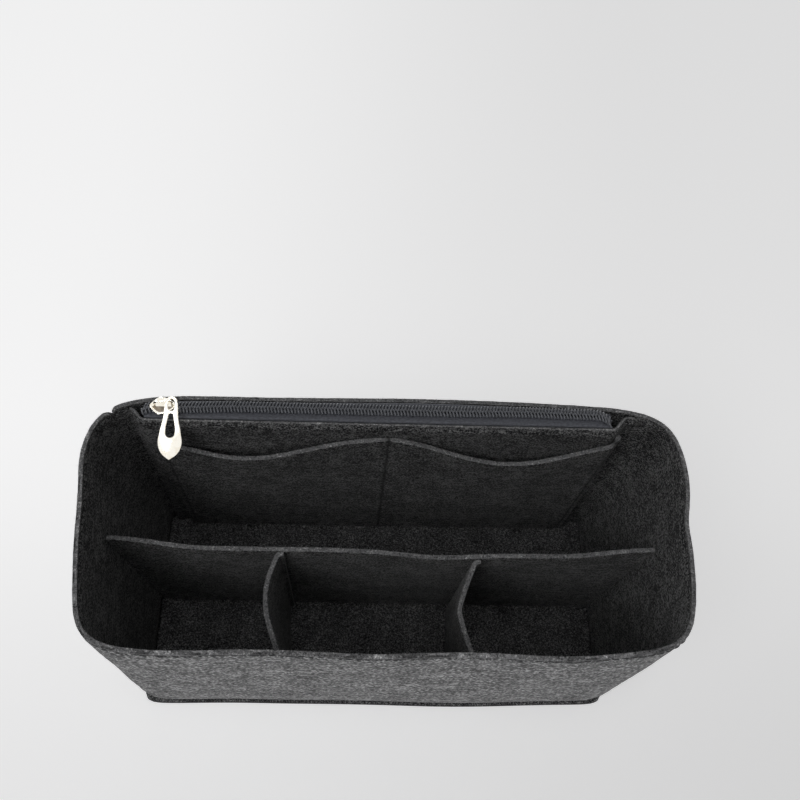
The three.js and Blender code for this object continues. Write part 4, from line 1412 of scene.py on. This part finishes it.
class Stitches(Operator):
    """Sew the rows of thread."""
    bl_idname = "organizer.stitches"
    bl_label = "Stitches"

    def sew(self, s, name, path, outward, total, node):
        """A row of stitches along path(0 to 1), each sunk into the felt at both ends."""
        th = s.thread
        step = th.stitch + th.gap
        count = max(1, int(total / step))
        lines = []
        radius = th.width / 2
        for k in range(count):
            line = []
            for i in range(6):
                part = i / 5
                at = (k + 0.5 + (part - 0.5) * th.stitch / step) / count
                sunk = radius * 1.6 * abs(2 * part - 1) ** 3
                spot = path(at) + outward(at) * (radius * 0.35 - sunk)
                line.append((*spot, 1 - 0.25 * abs(2 * part - 1) ** 2))
            lines.append(line)
        piece = tubes(name, lines, radius, finishes(s)["thread"])
        dress(piece, ORGANIZER, "black_thread", node)

    def execute(self, context):
        s = Shape(context.scene)
        t, th, d, p = s.tub, s.thread, s.divider, s.pocket
        sunk = s.half * (1 - th.groove)

        def on_wall(along, z, inset):
            return Vector((*s.outline(*s.band_square(along), z, inset), z))

        def out_of_wall(along, z):
            a, b = on_wall(max(0, along - 1e-4), z, 0), on_wall(min(1, along + 1e-4), z, 0)
            run = (b - a).normalized()
            return Vector((run.y, -run.x, 0))

        def rows_round(name, node, height, depth):
            parts = 900
            steps = even_steps(lambda a: on_wall(a, height(a), 0), parts)

            def at(part):
                place = part * parts
                low = min(parts - 1, int(place))
                return mix(steps[low], steps[low + 1], place - low)

            total = sum((on_wall(b, height(b), 0) - on_wall(a, height(a), 0)).length
                        for a, b in zip(steps, steps[1:]))
            self.sew(s, name, lambda part: on_wall(at(part), height(at(part)), depth),
                     lambda part: out_of_wall(at(part), height(at(part))), total, node)

        rows_round("rim_stitches", "rim_stitch", lambda a: s.rim(a) - th.rim_drop, sunk)
        rows_round("base_stitches", "base_seam_stitch", lambda a: s.floor, 0.2 * MM)

        def upright(name, node, low, high, spot, outward):
            self.sew(s, name, lambda part: Vector(spot(mix(low, high, part))),
                     lambda part: outward, high - low, node)

        low = s.floor + th.end_inset

        def seam(z):
            first, last = on_wall(0, z, 0), on_wall(1, z, 0)
            return (first + last) / 2

        upright("corner_stitches", "corner_seam_stitch", low,
                t.height - 2 * th.end_inset - th.rim_drop, seam, out_of_wall(0, t.height / 2))
        front = Vector((0, -1, 0))
        for name, node, x, top in (
                ("slip_middle_stitches", "slip_stitch_middle", 0,
                 p.slip_peak - th.end_inset * 0.4),
                ("slip_left_stitches", "slip_stitch_left", s.slip_left + SLIP_SEAM,
                 p.slip_left_end - th.end_inset),
                ("slip_right_stitches", "slip_stitch_right", s.slip_right - SLIP_SEAM,
                 p.slip_right_end - th.end_inset)):
            upright(name, node, low, top,
                    lambda z, x=x: (x, s.ahead(s.slip_y, x, z, s.half - sunk), z), front)
        for name, node, side, y in (
                ("divider_left_stitches", "divider_stitch_left", -1, d.left_y),
                ("divider_right_stitches", "divider_stitch_right", 1, d.right_y)):
            upright(name, node, low, d.height - th.end_inset,
                    lambda z, side=side, y=y: (side * s.side_x(y, z, 0, side), y, z),
                    Vector((side, 0, 0)))
        for name, node, rear in (("cross_left_stitches", "cross_stitch_left", d.left_x),
                                 ("cross_right_stitches", "cross_stitch_right", d.right_x)):
            x = rear + mix(d.fold, d.cross_flange, 0.7)
            upright(name, node, low, d.height - th.end_inset,
                    lambda z, x=x: (x, s.ahead(s.divider_y, x, z, s.layer + s.half), z), front)
        return {"FINISHED"}


class Fibres(Operator):
    """Grow the loose fibres of the cut felt edges."""
    bl_idname = "organizer.fibres"
    bl_label = "Loose fibres"

    def execute(self, context):
        s = Shape(context.scene)
        t = s.tub
        for name in ("wall_felt", "slip_pocket_felt", "long_divider_felt", "left_cross_felt",
                     "right_cross_felt"):
            panel = bpy.data.objects[name]
            draw = random.Random(seed_of(name))
            mesh = panel.data
            mesh.calc_loop_triangles()
            lines = []
            for tri in mesh.loop_triangles:
                if tri.material_index != 1 or tri.normal.z < 0.3:
                    continue
                a, b, c = (mesh.vertices[i].co for i in tri.vertices)
                wanted = tri.area / MM ** 2 * t.fibres_per_mm2
                count = int(wanted) + (draw.random() < wanted % 1)
                for _ in range(count):
                    u, v = sorted((draw.random(), draw.random()))
                    root = a * u + b * (v - u) + c * (1 - v)
                    lean = Vector((draw.gauss(0, 1), draw.gauss(0, 1), draw.gauss(0, 0.6)))
                    way = (Vector(tri.normal) + lean * 0.9).normalized()
                    if way.z < 0.1:
                        way.z = 0.1
                    curl = Vector((draw.gauss(0, 1), draw.gauss(0, 1), draw.gauss(0, 0.7)))
                    size = t.fibre_length * draw.uniform(0.35, 1.25)
                    mid = root + way * size * 0.5 + curl * size * 0.12
                    tip = root + way * size * 0.9 + curl * size * 0.35
                    start = root - Vector(tri.normal) * 0.1 * MM
                    lines.append([(*start, 1.0), (*mid, 0.85), (*tip, 0.3)])
            # Drawn in the cut-edge material, whose pale tone is partly a painted highlight.
            fuzz = tubes(name.replace("felt", "fibres"), lines, t.fibre_width / 2,
                         finishes(s)["cut"], resolution=0)
            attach(fuzz, ORGANIZER)
        return {"FINISHED"}


class Stage(Operator):
    """Set the pale floor, the soft lamps and the camera."""
    bl_idname = "organizer.stage"
    bl_label = "Stage"

    def seen(self, tree):
        """1 for what the eye, metal and clear pieces see, 0 for the light that falls on felt."""
        path = add_node(tree, "ShaderNodeLightPath").outputs
        both = calc(tree, "MAXIMUM", path["Is Camera Ray"], path["Is Glossy Ray"])
        return calc(tree, "MAXIMUM", both, path["Is Transmission Ray"])

    def lamp(self, name, place, target, size, watts):
        light = bpy.data.lights.new(name, "AREA")
        light.shape = "RECTANGLE"
        light.size, light.size_y = size
        light.energy = watts
        lamp = bpy.data.objects.new(name, light)
        lamp.location = place
        lamp.rotation_euler = (Vector(target) - Vector(place)).to_track_quat("-Z", "Y").to_euler()
        bpy.context.scene.collection.objects.link(lamp)

    def execute(self, context):
        s = Shape(context.scene)
        look = s.stage
        scene = context.scene
        scene.view_settings.view_transform = "Standard"
        bm = bmesh.new()
        reach, below = 4, 0.05 * MM
        bmesh.ops.create_grid(bm, x_segments=8, y_segments=8, size=reach)
        bmesh.ops.translate(bm, vec=(0, 0, -below), verts=bm.verts)
        # Matt studio paper: pale, with no gloss, and lifted toward white for the eye. The lift
        # carries a
        # painted light: brighter toward the left and the back, darker toward the right and the
        # front, as the lamps' fall-off and the object's soft shadow.
        paper, tree, shader = new_material("matt_studio_paper")
        fill(tree, shader, {"Base Color": rgba(look.floor), "Roughness": 1.0,
                            "Specular IOR Level": 0.0, "Emission Color": (1, 1, 1, 1)})
        spot = add_node(tree, "ShaderNodeSeparateXYZ", {
            0: add_node(tree, "ShaderNodeTexCoord").outputs["Object"]})
        painted_side_light = add_node(tree, "ShaderNodeMapRange", {
            "Value": spot.outputs["X"], "From Min": -0.25, "From Max": 0.25,
            "To Min": look.glow * 1.11, "To Max": look.glow * 0.88},
            interpolation_type="SMOOTHSTEP")
        painted_depth_light = add_node(tree, "ShaderNodeMapRange", {
            "Value": spot.outputs["Y"], "From Min": -0.16, "From Max": 0.14,
            "To Min": 0.82, "To Max": 1.08}, interpolation_type="SMOOTHSTEP")
        glow = calc(tree, "MULTIPLY", painted_side_light.outputs[0], painted_depth_light.outputs[0])
        lifted = calc(tree, "MULTIPLY", self.seen(tree), glow)
        fill(tree, shader, {"Emission Strength": lifted})
        floor = show(bm, "floor", (paper,))
        world = bpy.data.worlds.new("studio")
        scene.world = world
        world.use_nodes = True
        sky = world.node_tree.nodes["Background"]
        white = ranged(world.node_tree, self.seen(world.node_tree), look.sky, 1.0)
        fill(world.node_tree, sky, {"Color": (1, 1, 1, 1), "Strength": white})
        self.lamp("overhead_lamp", (-0.06, -0.12, 1.7), (0, 0, 0), (0.35, 0.35), look.overhead)
        self.lamp("top_lamp", (-0.62, -0.64, 1.3), (0, 0, 0.1), (0.7, 0.7), look.top)
        self.lamp("front_lamp", (-0.25, -1.6, 0.12), (0, 0, 0.08), (1.8, 0.24), look.front)
        for name, place in (("left_lamp", (-1.6, 0, 0.09)), ("right_lamp", (1.6, 0, 0.09)),
                            ("back_lamp", (0, 1.6, 0.09))):
            self.lamp(name, place, (0, 0, 0.07), (1.8, 0.15), look.sides)
        camera = bpy.data.cameras.new("camera")
        camera.sensor_width = 36
        camera.lens = look.lens / MM
        eye = bpy.data.objects.new("camera", camera)
        scene.collection.objects.link(eye)
        ahead = Vector((math.sin(look.yaw) * math.cos(look.pitch),
                        math.cos(look.yaw) * math.cos(look.pitch), -math.sin(look.pitch)))
        level = Vector((math.cos(look.yaw), -math.sin(look.yaw), 0))
        above = level.cross(ahead)
        right = level * math.cos(look.roll) + above * math.sin(look.roll)
        up = above * math.cos(look.roll) - level * math.sin(look.roll)
        turn = Matrix((right, up, -ahead)).transposed().to_4x4()
        eye.matrix_world = Matrix.Translation(look.camera) @ turn
        scene.camera = eye
        return {"FINISHED"}


STEPS = (Stage, BasePanel, WallBand, PocketPanels, Dividers, ZipTapes, ZipCoils, ZipSlider,
         PullTab, Stitches, Fibres)


class OrganizerPanel(Panel):
    """The organizer's sizes and the steps that build it."""
    bl_idname = "VIEW3D_PT_organizer"
    bl_label = "Felt purse organizer"
    bl_space_type = "VIEW_3D"
    bl_region_type = "UI"
    bl_category = "Organizer"

    def draw(self, context):
        for step in STEPS:
            self.layout.operator(step.bl_idname)
        for name, kind in GROUPS.items():
            box = self.layout.box()
            box.label(text=kind.__doc__)
            for key in kind.__annotations__:
                box.prop(getattr(context.scene, name), key)


CLASSES = (*GROUPS.values(), *STEPS, OrganizerPanel)


def register():
    for kind in CLASSES:
        bpy.utils.register_class(kind)
    for name, kind in GROUPS.items():
        setattr(bpy.types.Scene, name, PointerProperty(type=kind))


def unregister():
    for name in GROUPS:
        delattr(bpy.types.Scene, name)
    for kind in reversed(CLASSES):
        bpy.utils.unregister_class(kind)


def main():
    register()
    for step in STEPS:
        group, action = step.bl_idname.split(".")
        getattr(getattr(bpy.ops, group), action)()


if __name__ == "__main__":
    main()
